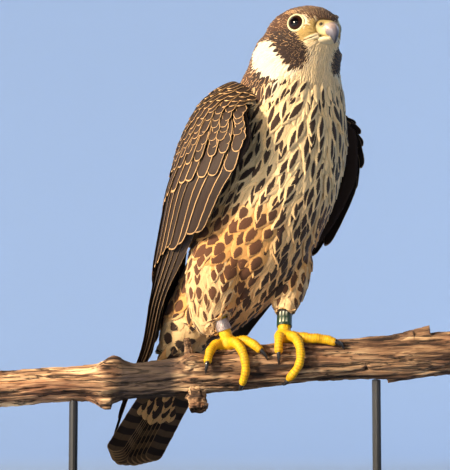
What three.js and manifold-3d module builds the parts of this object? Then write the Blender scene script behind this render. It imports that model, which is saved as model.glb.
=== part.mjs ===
// A life-size still model of a young peregrine falcon perched on a cut length of dead branch,
// which two short rods hold above a flat base. Millimetres, +Z up. The origin is the middle of
// the base's underside. The branch runs along X and the bird faces between -Y and +X.
import * as THREE from "three";
import { mergeVertices } from "three/addons/utils/BufferGeometryUtils.js";
import Module from "manifold-3d";

const wasm = await Module();
wasm.setup();

// Driving sizes
const YAW = 42; // degrees the bird is turned from facing -Y towards +X
const STANCE_X = 28.5; // the branch's axis between the feet
const STANCE_Z = 112;
const GAP = 0.35; // clearance kept between neighbouring pieces
const FEATHER = 0.8; // thickness of a feather's vane
const BODY_SIDES = 24;
const HEAD_SIDES = 18;

const BASE = { long: 300, wide: 210, thick: 12, corner: 24, chamfer: 1.5, y: 18 };
const ROD = { radius: 4, x: 138 };
const BRANCH = { from: -212, to: 222, slope: 0.087, radius: 18.4, sides: 14, steps: 29 };

const radians = THREE.MathUtils.degToRad;
const UP = new THREE.Vector3(0, 0, 1);
const vec = (x, y, z) => new THREE.Vector3(x, y, z);

// A point of the bird's own frame (x to its left, y to its back, z up, from the stance), turned into
// the part's frame.
const bird = (x, y, z) =>
  vec(x, y, z).applyAxisAngle(UP, radians(YAW)).add(vec(STANCE_X, 0, STANCE_Z));

// A smooth run through equally spaced rows of numbers, read at u from 0 to 1.
function along(rows, u) {
  const last = rows.length - 1;
  const place = Math.min(Math.max(u, 0), 1) * last;
  const i = Math.min(Math.floor(place), last - 1);
  const f = place - i;
  const row = (k) => rows[Math.min(Math.max(k, 0), last)];
  return rows[i].map((_, c) => {
    const [a, b, d, e] = [row(i - 1)[c], row(i)[c], row(i + 1)[c], row(i + 2)[c]];
    return b + 0.5 * f * (d - a + f * (2 * a - 5 * b + 4 * d - e + f * (3 * (b - d) + e - a)));
  });
}

const mix = (a, b, f) => a + (b - a) * f;

// Materials
const finish = (color, roughness, metalness = 0) =>
  new THREE.MeshStandardMaterial({ color, roughness, metalness });
const BREAST = finish(0xe3c79a, 0.9);
const CROWN = finish(0x6d4a31, 0.9);
const BACK = finish(0x4f382b, 0.85);
const YELLOW = finish(0xe8b91c, 0.55);
const HORN = finish(0x6f7684, 0.35);
const CLAW = finish(0x17161a, 0.3);
const EYE_DARK = finish(0x140c08, 0.05);
const CERE_SKIN = finish(0xd8cf9a, 0.5);
const SILVER = finish(0xb9b4b2, 0.35, 0.9);
const BLACK_BAND = finish(0x14211c, 0.4);
const WOOD = finish(0x8d7560, 0.95);
const STAND = finish(0x3a3a3c, 0.5);

// Solids

function solidOf(geometry) {
  const bare = new THREE.BufferGeometry().setAttribute("position", geometry.getAttribute("position"));
  bare.setIndex(geometry.index);
  const merged = mergeVertices(bare, 1e-4);
  return new wasm.Manifold(
    new wasm.Mesh({
      numProp: 3,
      vertProperties: new Float32Array(merged.attributes.position.array),
      triVerts: new Uint32Array(merged.index.array),
    }),
  );
}

// A closed solid over rings of equally many points. Both ends are closed by a fan.
// With alike, the quads of opposite faces are split along matching diagonals, as a thin vane needs.
function skinned(rings, alike = false) {
  const count = rings[0].length;
  const points = rings.flat();
  const middle = (ring) => ring.reduce((sum, p) => sum.add(p), vec(0, 0, 0)).divideScalar(count);
  if (!alike) points.push(middle(rings[0]), middle(rings[rings.length - 1]));
  const [first, final] = alike ? [0, points.length - count] : [points.length - 2, points.length - 1];
  const index = [];
  for (let k = 0; k + 1 < rings.length; k++) {
    for (let j = 0; j < count; j++) {
      const a = k * count + j;
      const b = k * count + ((j + 1) % count);
      const [c, d] = [a + count, b + count];
      if (alike && j < count / 2) index.push(a, b, d, a, d, c);
      else index.push(a, b, c, b, d, c);
    }
  }
  const end = (rings.length - 1) * count;
  for (let j = alike ? 1 : 0; j < (alike ? count - 1 : count); j++) {
    index.push(first, (j + 1) % count, j);
    index.push(final, end + j, end + ((j + 1) % count));
  }
  const geometry = new THREE.BufferGeometry().setFromPoints(points).setIndex(index);
  const made = solidOf(geometry);
  if (made.volume() > 0) return made;
  const turned = index.flatMap((_, i) => (i % 3 ? [] : [index[i], index[i + 2], index[i + 1]]));
  return solidOf(geometry.setIndex(turned));
}

const joined = (solids) => solids.reduce((whole, piece) => whole.add(piece));
const without = (solid, ...tools) => tools.reduce((left, tool) => left.subtract(tool), solid);

// The largest closed surface of a solid, without loose scraps or sealed hollows.
function largest(solid) {
  const pieces = solid.decompose();
  pieces.sort((a, b) => b.volume() - a.volume());
  return pieces[0];
}

// A tube of round or oval section along points, each row being x, y, z, half width, half height.
function tube(rows, { sides = 10, steps = 12, side = null, grow = 0, frame = (p) => p } = {}) {
  const centre = (u) => {
    const [x, y, z] = along(rows, u);
    return frame(vec(x, y, z));
  };
  const rings = [];
  for (let k = 0; k <= steps; k++) {
    const u = k / steps;
    const here = centre(u);
    const ahead = centre(Math.min(u + 0.01, 1)).sub(centre(Math.max(u - 0.01, 0))).normalize();
    const hint = side ?? (Math.abs(ahead.x) < 0.8 ? vec(1, 0, 0) : vec(0, 1, 0));
    const across = hint.clone().addScaledVector(ahead, -hint.dot(ahead)).normalize();
    const over = ahead.clone().cross(across);
    const [, , , wide, high] = along(rows, u);
    here.addScaledVector(ahead, k === 0 ? -grow : k === steps ? grow : 0);
    rings.push(
      Array.from({ length: sides }, (_, j) => {
        const angle = (2 * Math.PI * j) / sides;
        return here
          .clone()
          .addScaledVector(across, (wide + grow) * Math.cos(angle))
          .addScaledVector(over, (high + grow) * Math.sin(angle));
      }),
    );
  }
  return skinned(rings);
}

// Trunk: the feathered body from the tail's root up the neck to the head.
// Each row is the middle (x, y, z), the half width, and the depth to the breast and to the back.
const TRUNK = [
  [-12, 106, 0, 12, 5, 4],
  [-11, 100, 12, 20, 11, 7],
  [-9, 92, 30, 28, 20, 12],
  [-6, 78, 50, 34, 31, 19],
  [-2, 58, 70, 41, 41, 27],
  [2, 34, 93, 48, 48, 36],
  [5, 10, 122, 53, 53, 44],
  [8, -12, 153, 56, 53, 50],
  [9, -28, 182, 56, 51, 52],
  [9, -38, 208, 54, 49, 53],
  [8, -43, 232, 50, 45, 55],
  [6, -47, 254, 48, 40, 58],
  [5, -50, 273, 42, 38, 45],
  [5, -53, 290, 40, 38, 36],
  [5, -57, 308, 22, 22, 24],
];
const TRUNK_STEPS = 26;
// Cuts across the trunk, at a part of its length and tilted by degrees
const NECK_CUT = { at: 0.735, tilt: 0 };
const HEAD_CUT = { at: 0.875, tilt: -14 };

function trunkFrame(u) {
  const middle = (v) => vec(...along(TRUNK, v));
  const ahead = middle(Math.min(u + 0.01, 1)).sub(middle(Math.max(u - 0.01, 0))).normalize();
  const left = vec(1, 0, 0).addScaledVector(ahead, -ahead.x).normalize();
  return { here: middle(u), ahead, left, back: ahead.clone().cross(left) };
}

function trunk(grow = 0) {
  const rings = [];
  for (let k = 0; k <= TRUNK_STEPS; k++) {
    const u = k / TRUNK_STEPS;
    const { here, left, back } = trunkFrame(u);
    const [, , , wide, front, rear] = along(TRUNK, u);
    rings.push(
      Array.from({ length: BODY_SIDES }, (_, j) => {
        const angle = (2 * Math.PI * j) / BODY_SIDES;
        const deep = Math.sin(angle) > 0 ? rear : front;
        const point = here
          .clone()
          .addScaledVector(left, (wide + grow) * Math.cos(angle))
          .addScaledVector(back, (deep + grow) * Math.sin(angle));
        return bird(...point);
      }),
    );
  }
  return skinned(rings);
}

// A feather's vane: a flat section that widens from its root and tapers to its tip. at(u) gives its
// middle, its way across and its way out in the bird's frame.
const VANE_SHAPE = [0.45, 0.85, 1, 0.96, 0.72, 0.2].map((part) => [part]);
function vane(at, half, segments = 4) {
  const rings = [];
  for (let k = 0; k <= segments; k++) {
    const { here, across, out } = at(k / segments);
    const wide = half * along(VANE_SHAPE, k / segments)[0];
    const corner = (a, b) =>
      bird(...here.clone().addScaledVector(across, a * wide).addScaledVector(out, (b * FEATHER) / 2));
    rings.push([corner(1, 1), corner(-1, 1), corner(-1, -1), corner(1, -1)]);
  }
  return skinned(rings, true);
}

// Everything above a cut across the trunk, whose tilt leans it back. The cut is moved up by over.
const ABOVE = 400;
function aboveCut({ at, tilt }, over) {
  const { here, ahead, left } = trunkFrame(at);
  const up = ahead.clone().applyAxisAngle(left, radians(tilt));
  const geometry = new THREE.BoxGeometry(ABOVE, ABOVE, ABOVE);
  geometry.applyQuaternion(new THREE.Quaternion().setFromUnitVectors(UP, up));
  geometry.translate(...here.addScaledVector(up, ABOVE / 2 + over));
  geometry.rotateZ(radians(YAW));
  geometry.translate(STANCE_X, 0, STANCE_Z);
  return solidOf(geometry);
}

// Head: in its own frame, x to the bird's left, f forward and h up from the middle of the skull.
const HEAD = { x: 5, y: -61.5, z: 299, yaw: -8, pitch: 4 };
const SKULL = [
  // f, h, half width, up, down
  [31, -3, 13, 12, 11],
  [27.5, -1.5, 19, 18, 16],
  [19, 0, 25, 24, 24],
  [8, 0, 29, 26, 30],
  [-5, 0, 32, 25.5, 33],
  [-17, -1, 31.5, 22.5, 33],
  [-28, -3, 26.5, 18.5, 31],
  [-35.5, -5, 16, 12, 19],
  [-38, -6, 6, 4, 7],
];
const SKULL_SQUARE = 0.82; // below 1 the skull's section is boxier than an oval
const EYE = {
  f: 14.8,
  h: 5.4,
  side: 19,
  radius: 8.6,
  forward: 0.5, // how far the eye looks forward for each unit it looks out
  lid: 7.9,
  lidThick: 1.25,
  out: 4.6, // from the eye's middle to the ring of the lids
  socket: 9.3,
};
const BROW = [
  // f, side, h, half width, half height
  [28, 13.5, 13, 1.2, 1],
  [22, 20, 15.6, 2.6, 2],
  [13, 25, 16.6, 3, 2.3],
  [3, 28, 16.2, 1.8, 1.4],
];
const UPPER_BILL = [
  // f, side, h, half width, half height
  [34.4, 0, -1.6, 8.4, 7.2],
  [37, 0, -2.4, 7.6, 6.8],
  [39.3, 0, -4.6, 6.3, 6],
  [41.1, 0, -7.6, 4.6, 4.8],
  [42, 0, -11.2, 2.8, 3.2],
  [42, 0, -15.4, 1, 1.2],
];
const CERE = [
  [22, 0, -0.4, 12, 8.8],
  [27, 0, -0.5, 11.2, 8.6],
  [31.4, 0, -1.2, 9.6, 7.9],
  [34, 0, -1.6, 8.7, 7.4],
];
const LOWER_BILL = [
  [23, 0, -9.6, 9.4, 3],
  [29, 0, -9.8, 8.2, 2.9],
  [35, 0, -10.2, 6.2, 2.5],
  [39.2, 0, -10.6, 3, 1.6],
];
const NOSTRIL = { f: 31.5, side: 9.4, h: 1.4, radius: 1.7, deep: 5 };
const GAPE = { from: 13, to: 36, h: -7.8, slope: 0.1, high: 0.8, bite: 2.2 };

function headPoint(f, side, h) {
  const point = vec(side, -f, h);
  point.applyAxisAngle(vec(1, 0, 0), radians(-HEAD.pitch));
  point.applyAxisAngle(UP, radians(HEAD.yaw));
  return bird(HEAD.x + point.x, HEAD.y + point.y, HEAD.z + point.z);
}
const headDirection = (f, side, h) => headPoint(f, side, h).sub(headPoint(0, 0, 0));

function skull(grow = 0) {
  const steps = 13;
  const rings = [];
  for (let k = 0; k <= steps; k++) {
    const [f, h, wide, up, down] = along(SKULL, k / steps);
    rings.push(
      Array.from({ length: HEAD_SIDES }, (_, j) => {
        const angle = (2 * Math.PI * j) / HEAD_SIDES;
        const [over, rise] = [Math.cos(angle), Math.sin(angle)].map(
          (part) => Math.sign(part) * Math.abs(part) ** SKULL_SQUARE,
        );
        return headPoint(f, (wide + grow) * over, h + ((rise > 0 ? up : down) + grow) * rise);
      }),
    );
  }
  return skinned(rings);
}

// A tube whose rows are f, side, h, half width and half height in the head's own frame.
const headTube = (rows, sides, steps, grow) =>
  tube(rows, {
    sides,
    steps,
    grow,
    side: headDirection(0, 1, 0),
    frame: (p) => headPoint(p.x, p.y, p.z),
  });
const upperBill = (grow = 0) => headTube(UPPER_BILL, 12, 8, grow);
const lowerBill = (grow = 0) => headTube(LOWER_BILL, 8, 5, grow);
const cere = (grow = 0) => headTube(CERE, 14, 4, grow);

function eyeBall(side, grow = 0) {
  const geometry = new THREE.SphereGeometry(EYE.radius + grow, 14, 9);
  geometry.translate(...headPoint(EYE.f, side * EYE.side, EYE.h));
  return solidOf(geometry);
}

const eyeOutward = (side) => headDirection(EYE.forward, side, 0.06).normalize();

// The hollow of the face in which the eye and its lids lie.
function socket(side) {
  const deep = 20;
  const outward = eyeOutward(side);
  const geometry = new THREE.CylinderGeometry(EYE.socket + 3, EYE.socket, deep, 14);
  geometry.applyQuaternion(new THREE.Quaternion().setFromUnitVectors(vec(0, 1, 0), outward));
  const centre = headPoint(EYE.f, side * EYE.side, EYE.h);
  geometry.translate(...centre.addScaledVector(outward, EYE.out - 0.5 + deep / 2));
  return solidOf(geometry);
}

function lidRing(side) {
  const outward = eyeOutward(side);
  const profile = Array.from({ length: 6 }, (_, i) => {
    const angle = (2 * Math.PI * (i % 5)) / 5;
    return new THREE.Vector2(EYE.lid + EYE.lidThick * Math.cos(angle), EYE.lidThick * Math.sin(angle));
  });
  const geometry = new THREE.LatheGeometry(profile, 14);
  geometry.applyQuaternion(new THREE.Quaternion().setFromUnitVectors(vec(0, 1, 0), outward));
  const centre = headPoint(EYE.f, side * EYE.side, EYE.h).addScaledVector(outward, EYE.out);
  geometry.translate(...centre);
  return solidOf(geometry);
}

function brow(side) {
  const rows = BROW.map(([f, out, h, wide, high]) => [f, side * out, h, wide, high]);
  return headTube(rows, 6, 5, 0);
}

function nostril(side) {
  const geometry = new THREE.CylinderGeometry(NOSTRIL.radius, NOSTRIL.radius, NOSTRIL.deep, 8);
  geometry.applyQuaternion(
    new THREE.Quaternion().setFromUnitVectors(vec(0, 1, 0), headDirection(0.25, side, 0.1).normalize()),
  );
  geometry.translate(...headPoint(NOSTRIL.f, side * NOSTRIL.side, NOSTRIL.h));
  return solidOf(geometry);
}

// The line of the mouth, cut a little way into both cheeks behind the bill.
function gapeLine() {
  const half = 34;
  const rings = [GAPE.from, GAPE.to].map((f) => {
    const h = GAPE.h + GAPE.slope * (f - GAPE.to);
    return [
      headPoint(f, -half, h - GAPE.high / 2),
      headPoint(f, half, h - GAPE.high / 2),
      headPoint(f, half, h + GAPE.high / 2),
      headPoint(f, -half, h + GAPE.high / 2),
    ];
  });
  return without(skinned(rings), skull(-GAPE.bite));
}

// Wings: each is a curved outer surface between a front edge, a bulge and a back edge,
// read at s from the shoulder to the wing tip and t from the front edge to the back edge.
const RIGHT_WING = [
  // front edge x y z, bulge x y z, back edge x y z, thickness
  [-38, -46, 240, -52, -8, 276, -12, 20, 256, 10],
  [-61, -55, 226, -98, 8, 242, -16, 38, 236, 22],
  [-67, -66, 203, -113, 37, 206, -15, 52, 206, 24],
  [-70, -57, 180, -114, 48, 182, -15, 62, 182, 23],
  [-70, -32, 155, -111, 57, 158, -16, 69, 157, 21],
  [-62, 14, 110, -94, 72, 112, -22, 87, 111, 14],
  [-58, 60, 65, -80, 86, 66, -20, 99, 63, 9],
  [-52, 92, 19, -61, 106, 18, -29, 114, 16, 6],
  [-51, 124, -22, -54, 136, -23, -29, 143, -24, 4.5],
  [-47, 155, -70, -46, 166, -72, -32, 171, -72, 2],
];
const LEFT_WING = [
  [50, -44, 240, 62, -6, 274, 24, 20, 254, 10],
  [73, -60, 227, 104, 6, 240, 30, 38, 234, 22],
  [83, -59, 204, 118, 32, 206, 30, 52, 204, 24],
  [84, -56, 178, 118, 45, 180, 29, 62, 180, 23],
  [82, -42, 150, 116, 56, 152, 29, 69, 155, 21],
  [72, -10, 102, 99, 70, 102, 31, 87, 108, 14],
  [62, 38, 60, 84, 84, 60, 24, 101, 60, 9],
  [53, 84, 20, 62, 106, 16, 25, 115, 14, 6],
  [31, 118, -22, 35, 134, -24, 9, 141, -26, 4.5],
  [12, 154, -70, 12, 164, -73, -3, 169, -72, 2],
];

function wingPoint(rows, s, t) {
  const row = along(rows, s);
  const [front, bulge, back] = [vec(...row), vec(...row.slice(3)), vec(...row.slice(6))];
  return front
    .multiplyScalar((1 - t) ** 2)
    .addScaledVector(bulge, 2 * t * (1 - t))
    .addScaledVector(back, t * t);
}

// The unit normal of the wing's surface, pointing out of the bird.
function wingNormal(rows, s, t) {
  const step = 0.01;
  const [s0, s1] = [Math.max(s - step, 0), Math.min(s + step, 1)];
  const [t0, t1] = [Math.max(t - step, 0), Math.min(t + step, 1)];
  const down = wingPoint(rows, s1, t).sub(wingPoint(rows, s0, t));
  const over = wingPoint(rows, s, t1).sub(wingPoint(rows, s, t0));
  const normal = down.cross(over).normalize();
  return rows === RIGHT_WING ? normal.negate() : normal;
}

// The fleshy core of a folded wing, from the shoulder to s = reach. It lies under the wing's surface
// by depth, and its last section is drawn in to the part close of its width.
const WING_CORE = { reach: 0.57, depth: 4, close: 0.8, steps: 8, across: 7, thinnest: 0.8, round: 0.5 };

function wingCore(rows) {
  const { reach, depth, close, steps, across, thinnest, round } = WING_CORE;
  const rings = [];
  for (let k = 0; k <= steps; k++) {
    const s = reach * (k / steps);
    const thick = along(rows, s)[9] - depth;
    const narrow = k === steps ? close : 1;
    const outer = [];
    const inner = [];
    for (let j = 0; j <= across; j++) {
      const t = mix(0.5, j / across, narrow);
      const normal = wingNormal(rows, s, t);
      const fullness = narrow * Math.sin(Math.PI * mix(0.06, 0.94, t)) ** round;
      const over = wingPoint(rows, s, t).addScaledVector(normal, -depth);
      const under = over.clone().addScaledVector(normal, -Math.max(thick * fullness, thinnest));
      outer.push(bird(...over));
      inner.push(bird(...under));
    }
    rings.push([...outer, ...inner.reverse()]);
  }
  return skinned(rings);
}

// Tiers of a folded wing's feathers: primaries, secondaries and three tiers of coverts. Each feather
// runs from root to tip, given as s, t for the first and the last of its tier. rise is how far root
// and tip lie over the wing's surface, step what each next tip adds to that, and tilt the degrees by
// which a feather's front edge is lifted.
const WING_TIERS = [
  {
    count: 6,
    root: [[0.42, 0.08], [0.38, 0.5]],
    tip: [[1, 0.36], [0.72, 0.7]],
    half: [6.5, 8],
    rise: [-8, -6.5],
    step: 1.6,
    tilt: 11,
    segments: 4,
  },
  {
    count: 7,
    root: [[0.27, 0.1], [0.27, 0.8]],
    tip: [[0.5, 0.08], [0.6, 0.84]],
    half: [8.5, 8.5],
    rise: [-5.5, -0.8],
    step: 0.1,
    tilt: 12,
    segments: 4,
  },
  {
    count: 8,
    root: [[0.17, 0.12], [0.19, 0.9]],
    tip: [[0.34, 0.1], [0.4, 0.92]],
    half: [8.5, 8.5],
    rise: [-5.5, -0.4],
    step: 0,
    tilt: 12,
    segments: 3,
  },
  {
    count: 8,
    root: [[0.09, 0.08], [0.1, 0.92]],
    tip: [[0.24, 0.08], [0.29, 0.94]],
    half: [8.5, 8.5],
    rise: [-5.5, 0.4],
    step: 0,
    tilt: 12,
    segments: 3,
  },
  {
    count: 7,
    root: [[0.02, 0.14], [0.02, 0.9]],
    tip: [[0.15, 0.06], [0.2, 0.94]],
    half: [8.5, 8.5],
    rise: [-5.5, 0.8],
    step: 0,
    tilt: 10,
    segments: 3,
  },
];
const LIFT_CURVE = 0.6; // below 1 a feather leaves its core soon after its root

function wingVane(rows, tier, i) {
  const f = i / (tier.count - 1);
  const between = ([first, last]) => first.map((value, axis) => mix(value, last[axis], f));
  const [root, tip] = [between(tier.root), between(tier.tip)];
  const path = (u) => root.map((value, axis) => mix(value, tip[axis], u));
  const lift = (u) => mix(tier.rise[0], tier.rise[1] + tier.step * i, u ** LIFT_CURVE);
  const point = (u) => wingPoint(rows, ...path(u)).addScaledVector(wingNormal(rows, ...path(u)), lift(u));
  const side = rows === RIGHT_WING ? 1 : -1;
  const at = (u) => {
    const ahead = point(Math.min(u + 0.02, 1)).sub(point(Math.max(u - 0.02, 0))).normalize();
    const out = wingNormal(rows, ...path(u));
    out.addScaledVector(ahead, -out.dot(ahead)).normalize();
    out.applyAxisAngle(ahead, side * radians(tier.tilt));
    return { here: point(u), across: out.clone().cross(ahead), out };
  };
  return vane(at, mix(tier.half[0], tier.half[1], f), tier.segments);
}

function wing(rows) {
  const pieces = [wingCore(rows)];
  for (const tier of WING_TIERS) {
    for (let i = 0; i < tier.count; i++) pieces.push(wingVane(rows, tier, i));
  }
  return joined(pieces);
}

// Thighs: the feathered trousers. Rows are x, y, z and the two half widths.
const RIGHT_THIGH = [
  [-24, 22, 128, 20, 24],
  [-29, 18, 104, 25, 30],
  [-31, 22, 82, 25, 29],
  [-29, 29, 62, 21, 24],
  [-26, 34, 46, 16.5, 18],
  [-24, 37, 33, 10, 11],
];
const LEFT_THIGH = [
  [26, 0, 128, 20, 24],
  [31, -6, 104, 21, 26],
  [31, -8, 84, 19, 23],
  [28, -10, 67, 14, 17],
  [25, -12, 56, 9.5, 11],
  [24, -12.5, 48, 7.2, 8.2],
];
const thigh = (rows, grow = 0) =>
  tube(rows, {
    sides: 14,
    steps: 10,
    grow,
    side: bird(1, 0, 0).sub(bird(0, 0, 0)),
    frame: (p) => bird(...p),
  });

// Tail: its axis runs from root to tip, and twist turns it so that its underside faces right.
const TAIL = { root: [-4, 80, 32], tip: [-22, 168, -89], twist: -12 };
const [tailRoot, tailTip] = [vec(...TAIL.root), vec(...TAIL.tip)];
const tailSide = vec(1, 0, 0).applyAxisAngle(UP, radians(TAIL.twist));
const tailAhead = tailTip.clone().sub(tailRoot).normalize();
const tailOut = tailSide.clone().cross(tailAhead).normalize();
const tailAcross = tailAhead.clone().cross(tailOut);

// A point of the tail: u from root to tip, over to the bird's left, high to the tail's upper side.
const tailPoint = (u, over, high) =>
  tailRoot.clone().lerp(tailTip, u).addScaledVector(tailAcross, over).addScaledVector(tailOut, high);

// A smooth form of the tail from its root to the part reach of its length. Its rows, equally spaced,
// are the half width, the half height and the height of the middle.
function tailForm(rows, { reach = 1, sides, steps, grow = 0 }) {
  const placed = rows.map(([wide, high, middle], i) => {
    const p = tailPoint((reach * i) / (rows.length - 1), 0, middle);
    return [p.x, p.y, p.z, wide, high];
  });
  const side = bird(...tailSide).sub(bird(0, 0, 0));
  return tube(placed, { sides, steps, grow, side, frame: (p) => bird(...p) });
}

// The room that the body and the wings leave for the tail.
const TAIL_ROOM = [
  [15, 9, 0],
  [24, 10, 0],
  [29, 8, 0],
  [32, 5, 0],
  [31, 2, 0],
];
const tailRoom = (grow) => tailForm(TAIL_ROOM, { sides: 14, steps: 8, grow });

// The tail's core and its feathers: six to each side, the middle pair on top, and the short feathers
// that cover the root below and above. Sizes run from the middle of the tail outward.
const TAIL_CORE = [
  [14, 8, 0],
  [22, 8, -1.5],
  [25, 6, -3],
  [22, 4, -4],
];
const TAIL_FEATHER = {
  pairs: 6,
  from: 0.14,
  half: 10,
  middle: 3.5, // the middle pair's distance from the tail's middle line
  first: 9.5, // the next pair's
  step: 3.4, // what each further pair adds to that
  drop: 1.2, // how much lower each next pair lies
  shorter: 0.02, // and how much shorter it is, as a part of the tail's length
};
const TAIL_COVERTS = [
  { count: 5, spread: 10, from: 0.12, to: 0.62, rise: [-5, -12], step: 1.2, half: 8.5 },
  { count: 4, spread: 11, from: 0.06, to: 0.4, rise: [2, 3.6], step: -1, half: 9 },
];
const TAIL_GATHER = 0.7; // feathers stand closer at their roots than at their tips

function tailVane({ from, to, over, rise, half }) {
  const at = (u) => ({
    here: tailPoint(mix(from, to, u), over * mix(TAIL_GATHER, 1, u), mix(rise[0], rise[1], u)),
    across: tailAcross,
    out: tailOut,
  });
  return vane(at, half, 3);
}

function tail() {
  const pieces = [tailForm(TAIL_CORE, { reach: 0.4, sides: 10, steps: 3 })];
  const { pairs, from, half, middle, first, step, drop, shorter } = TAIL_FEATHER;
  for (const way of [-1, 1]) {
    for (let k = 0; k < pairs; k++) {
      const over = way * (k ? first + step * (k - 1) : middle);
      const high = k ? -drop * (k + 1) : Math.min(way, 0) * drop;
      pieces.push(tailVane({ from, to: 1 - shorter * k, over, rise: [high, high], half }));
    }
  }
  for (const { count, spread, to, rise, step: add, ...covert } of TAIL_COVERTS) {
    for (let i = 0; i < count; i++) {
      const place = i - (count - 1) / 2;
      const away = Math.abs(place);
      const lifted = rise.map((high) => high + add * away);
      pieces.push(tailVane({ ...covert, to: to - shorter * away, over: place * spread, rise: lifted }));
    }
  }
  return joined(pieces);
}

// Branch: a dead length with knots, set a little uphill towards +X.
const KNOTS = [
  // x, angle round the branch from the top towards -Y, height, spread
  { x: -102, angle: -10, high: 9, spread: 16 },
  { x: -98, angle: 150, high: 6, spread: 15 },
  { x: -30, angle: 55, high: 6, spread: 11 },
  { x: 160, angle: 170, high: 4, spread: 26 },
];
const STUBS = [
  { x: -31, angle: 14, reach: 33, radius: 4.2, tip: 2.6, lean: -4 },
  { x: -27, angle: 158, reach: 34, radius: 8, tip: 7.4, lean: 3 },
];

const branchAxis = (x) => vec(x, 0, STANCE_Z + (x - STANCE_X) * BRANCH.slope + 1.5 * Math.sin(x / 37));

function branchRadius(x, angle) {
  let radius = BRANCH.radius * (1 + 0.06 * Math.sin(x / 41 + 1) + 0.0005 * (x - STANCE_X));
  radius += 0.9 * Math.sin(3 * angle + x / 60) + 0.5 * Math.sin(5 * angle - x / 33);
  for (const knot of KNOTS) {
    const turn = Math.atan2(Math.sin(angle - radians(knot.angle)), Math.cos(angle - radians(knot.angle)));
    const away = ((x - knot.x) / knot.spread) ** 2 + (turn / 0.7) ** 2;
    radius += knot.high * Math.exp(-away);
  }
  return radius;
}

// A point at a height over the branch's bark: the angle runs from the top towards -Y.
function onBranch(x, degrees, over) {
  const angle = radians(degrees);
  const reach = branchRadius(x, angle) + over;
  return branchAxis(x).add(vec(0, -reach * Math.sin(angle), reach * Math.cos(angle)));
}

function branch(grow = 0) {
  const rings = [];
  for (let k = 0; k <= BRANCH.steps; k++) {
    const x = mix(BRANCH.from - grow, BRANCH.to + grow, k / BRANCH.steps);
    rings.push(
      Array.from({ length: BRANCH.sides }, (_, j) => onBranch(x, (360 * j) / BRANCH.sides, grow)),
    );
  }
  return skinned(rings);
}

function stub({ x, angle, reach, radius, tip, lean }) {
  const rows = [0, 0.5, 1].map((u) => {
    const point = onBranch(x + lean * u, angle, mix(-12, reach - BRANCH.radius, u));
    return [point.x, point.y, point.z, mix(radius, tip, u), mix(radius, tip, u)];
  });
  return tube(rows, { sides: 8, steps: 2 });
}

// Legs and feet. A toe lies on the bark: its rows are x, angle, and height over the bark.
const LEG = { radius: 5.2, toe: 4.6, claw: 2.6 };
const FEET = [
  {
    side: "right",
    thigh: RIGHT_THIGH,
    knee: [-32, 24, 64],
    ankle: { x: 3, angle: 4, over: 7 },
    ring: { from: 0.5, to: 0.74, wall: 1.1, material: SILVER },
    toes: [
      { name: "inner", rows: [[0, 8, 5], [-9, 20, 6], [-14, 44, 5], [-16, 70, 4.2]] },
      { name: "middle", rows: [[5, 12, 6], [11, 34, 7], [17, 64, 6.5], [18.5, 98, 5.2], [15, 130, 4]] },
      { name: "outer", rows: [[8, 8, 5.4], [18, 20, 6], [26.5, 38, 5], [33, 54, 4]] },
      { name: "hind", rows: [[2, -8, 5.4], [0, -30, 6], [-3, -58, 5], [-5, -80, 4.2]] },
    ],
  },
  {
    side: "left",
    thigh: LEFT_THIGH,
    knee: [27, -10, 64],
    ankle: { x: 54, angle: 4, over: 7 },
    ring: { from: 0.36, to: 0.78, wall: 1.3, material: BLACK_BAND },
    toes: [
      { name: "inner", rows: [[52, 10, 5.4], [49.5, 24, 6.6], [48.5, 46, 5.6], [48.5, 66, 4.2]] },
      { name: "middle", rows: [[57, 12, 6], [64, 36, 7.4], [68, 66, 7], [66, 98, 5.6], [56, 130, 4.4]] },
      { name: "outer", rows: [[62, 14, 5.4], [76, 30, 5.6], [90, 34, 5], [101, 46, 4.4]] },
      { name: "hind", rows: [[54, -8, 5.4], [52, -30, 6], [49, -58, 5], [47, -80, 4.2]] },
    ],
  },
];
const CLAW_REACH = 13;

const onBark = ([x, angle, over]) => onBranch(x, angle, over);

// The yellow leg from inside the trousers down to the foot's pad.
function legRows({ knee, ankle }) {
  const top = bird(...knee);
  const foot = onBranch(ankle.x, ankle.angle, ankle.over);
  return [0, 0.5, 1].map((u) => {
    const p = top.clone().lerp(foot, u);
    const r = mix(LEG.radius, LEG.radius * 1.15, u);
    return [p.x, p.y, p.z, r, r * 1.1];
  });
}
const leg = (foot, grow = 0) => tube(legRows(foot), { sides: 10, steps: 3, grow });

function pad(foot, grow = 0) {
  const geometry = new THREE.SphereGeometry(1, 10, 7);
  geometry.scale(9 + grow, 8.4 + grow, 7.4 + grow);
  geometry.translate(...onBranch(foot.ankle.x, foot.ankle.angle, 5.5));
  return solidOf(geometry);
}

function toe({ rows }, grow = 0) {
  const placed = rows.map((row, i) => {
    const p = onBark(row);
    const r = LEG.toe * mix(1.02, 0.8, i / (rows.length - 1));
    return [p.x, p.y, p.z, r, r];
  });
  return tube(placed, { sides: 7, steps: 6, grow });
}

// A claw curves on from the toe's tip and points back to the bark.
function claw({ rows }) {
  const [before, tip] = rows.slice(-2).map(onBark);
  const ahead = tip.clone().sub(before).normalize();
  const [x, angle] = rows[rows.length - 1];
  const out = tip.clone().sub(branchAxis(x)).setX(0).normalize();
  const rowsOut = [0, 0.35, 0.7, 1].map((u, i) => {
    const p = tip
      .clone()
      .addScaledVector(ahead, CLAW_REACH * Math.sin(1.35 * u) - 1.5)
      .addScaledVector(out, 1.2 - CLAW_REACH * 0.55 * u * u);
    const r = [LEG.claw, 2.1, 1.3, 0.35][i];
    return [p.x, p.y, p.z, r, r];
  });
  return tube(rowsOut, { sides: 5, steps: 4 });
}

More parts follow.
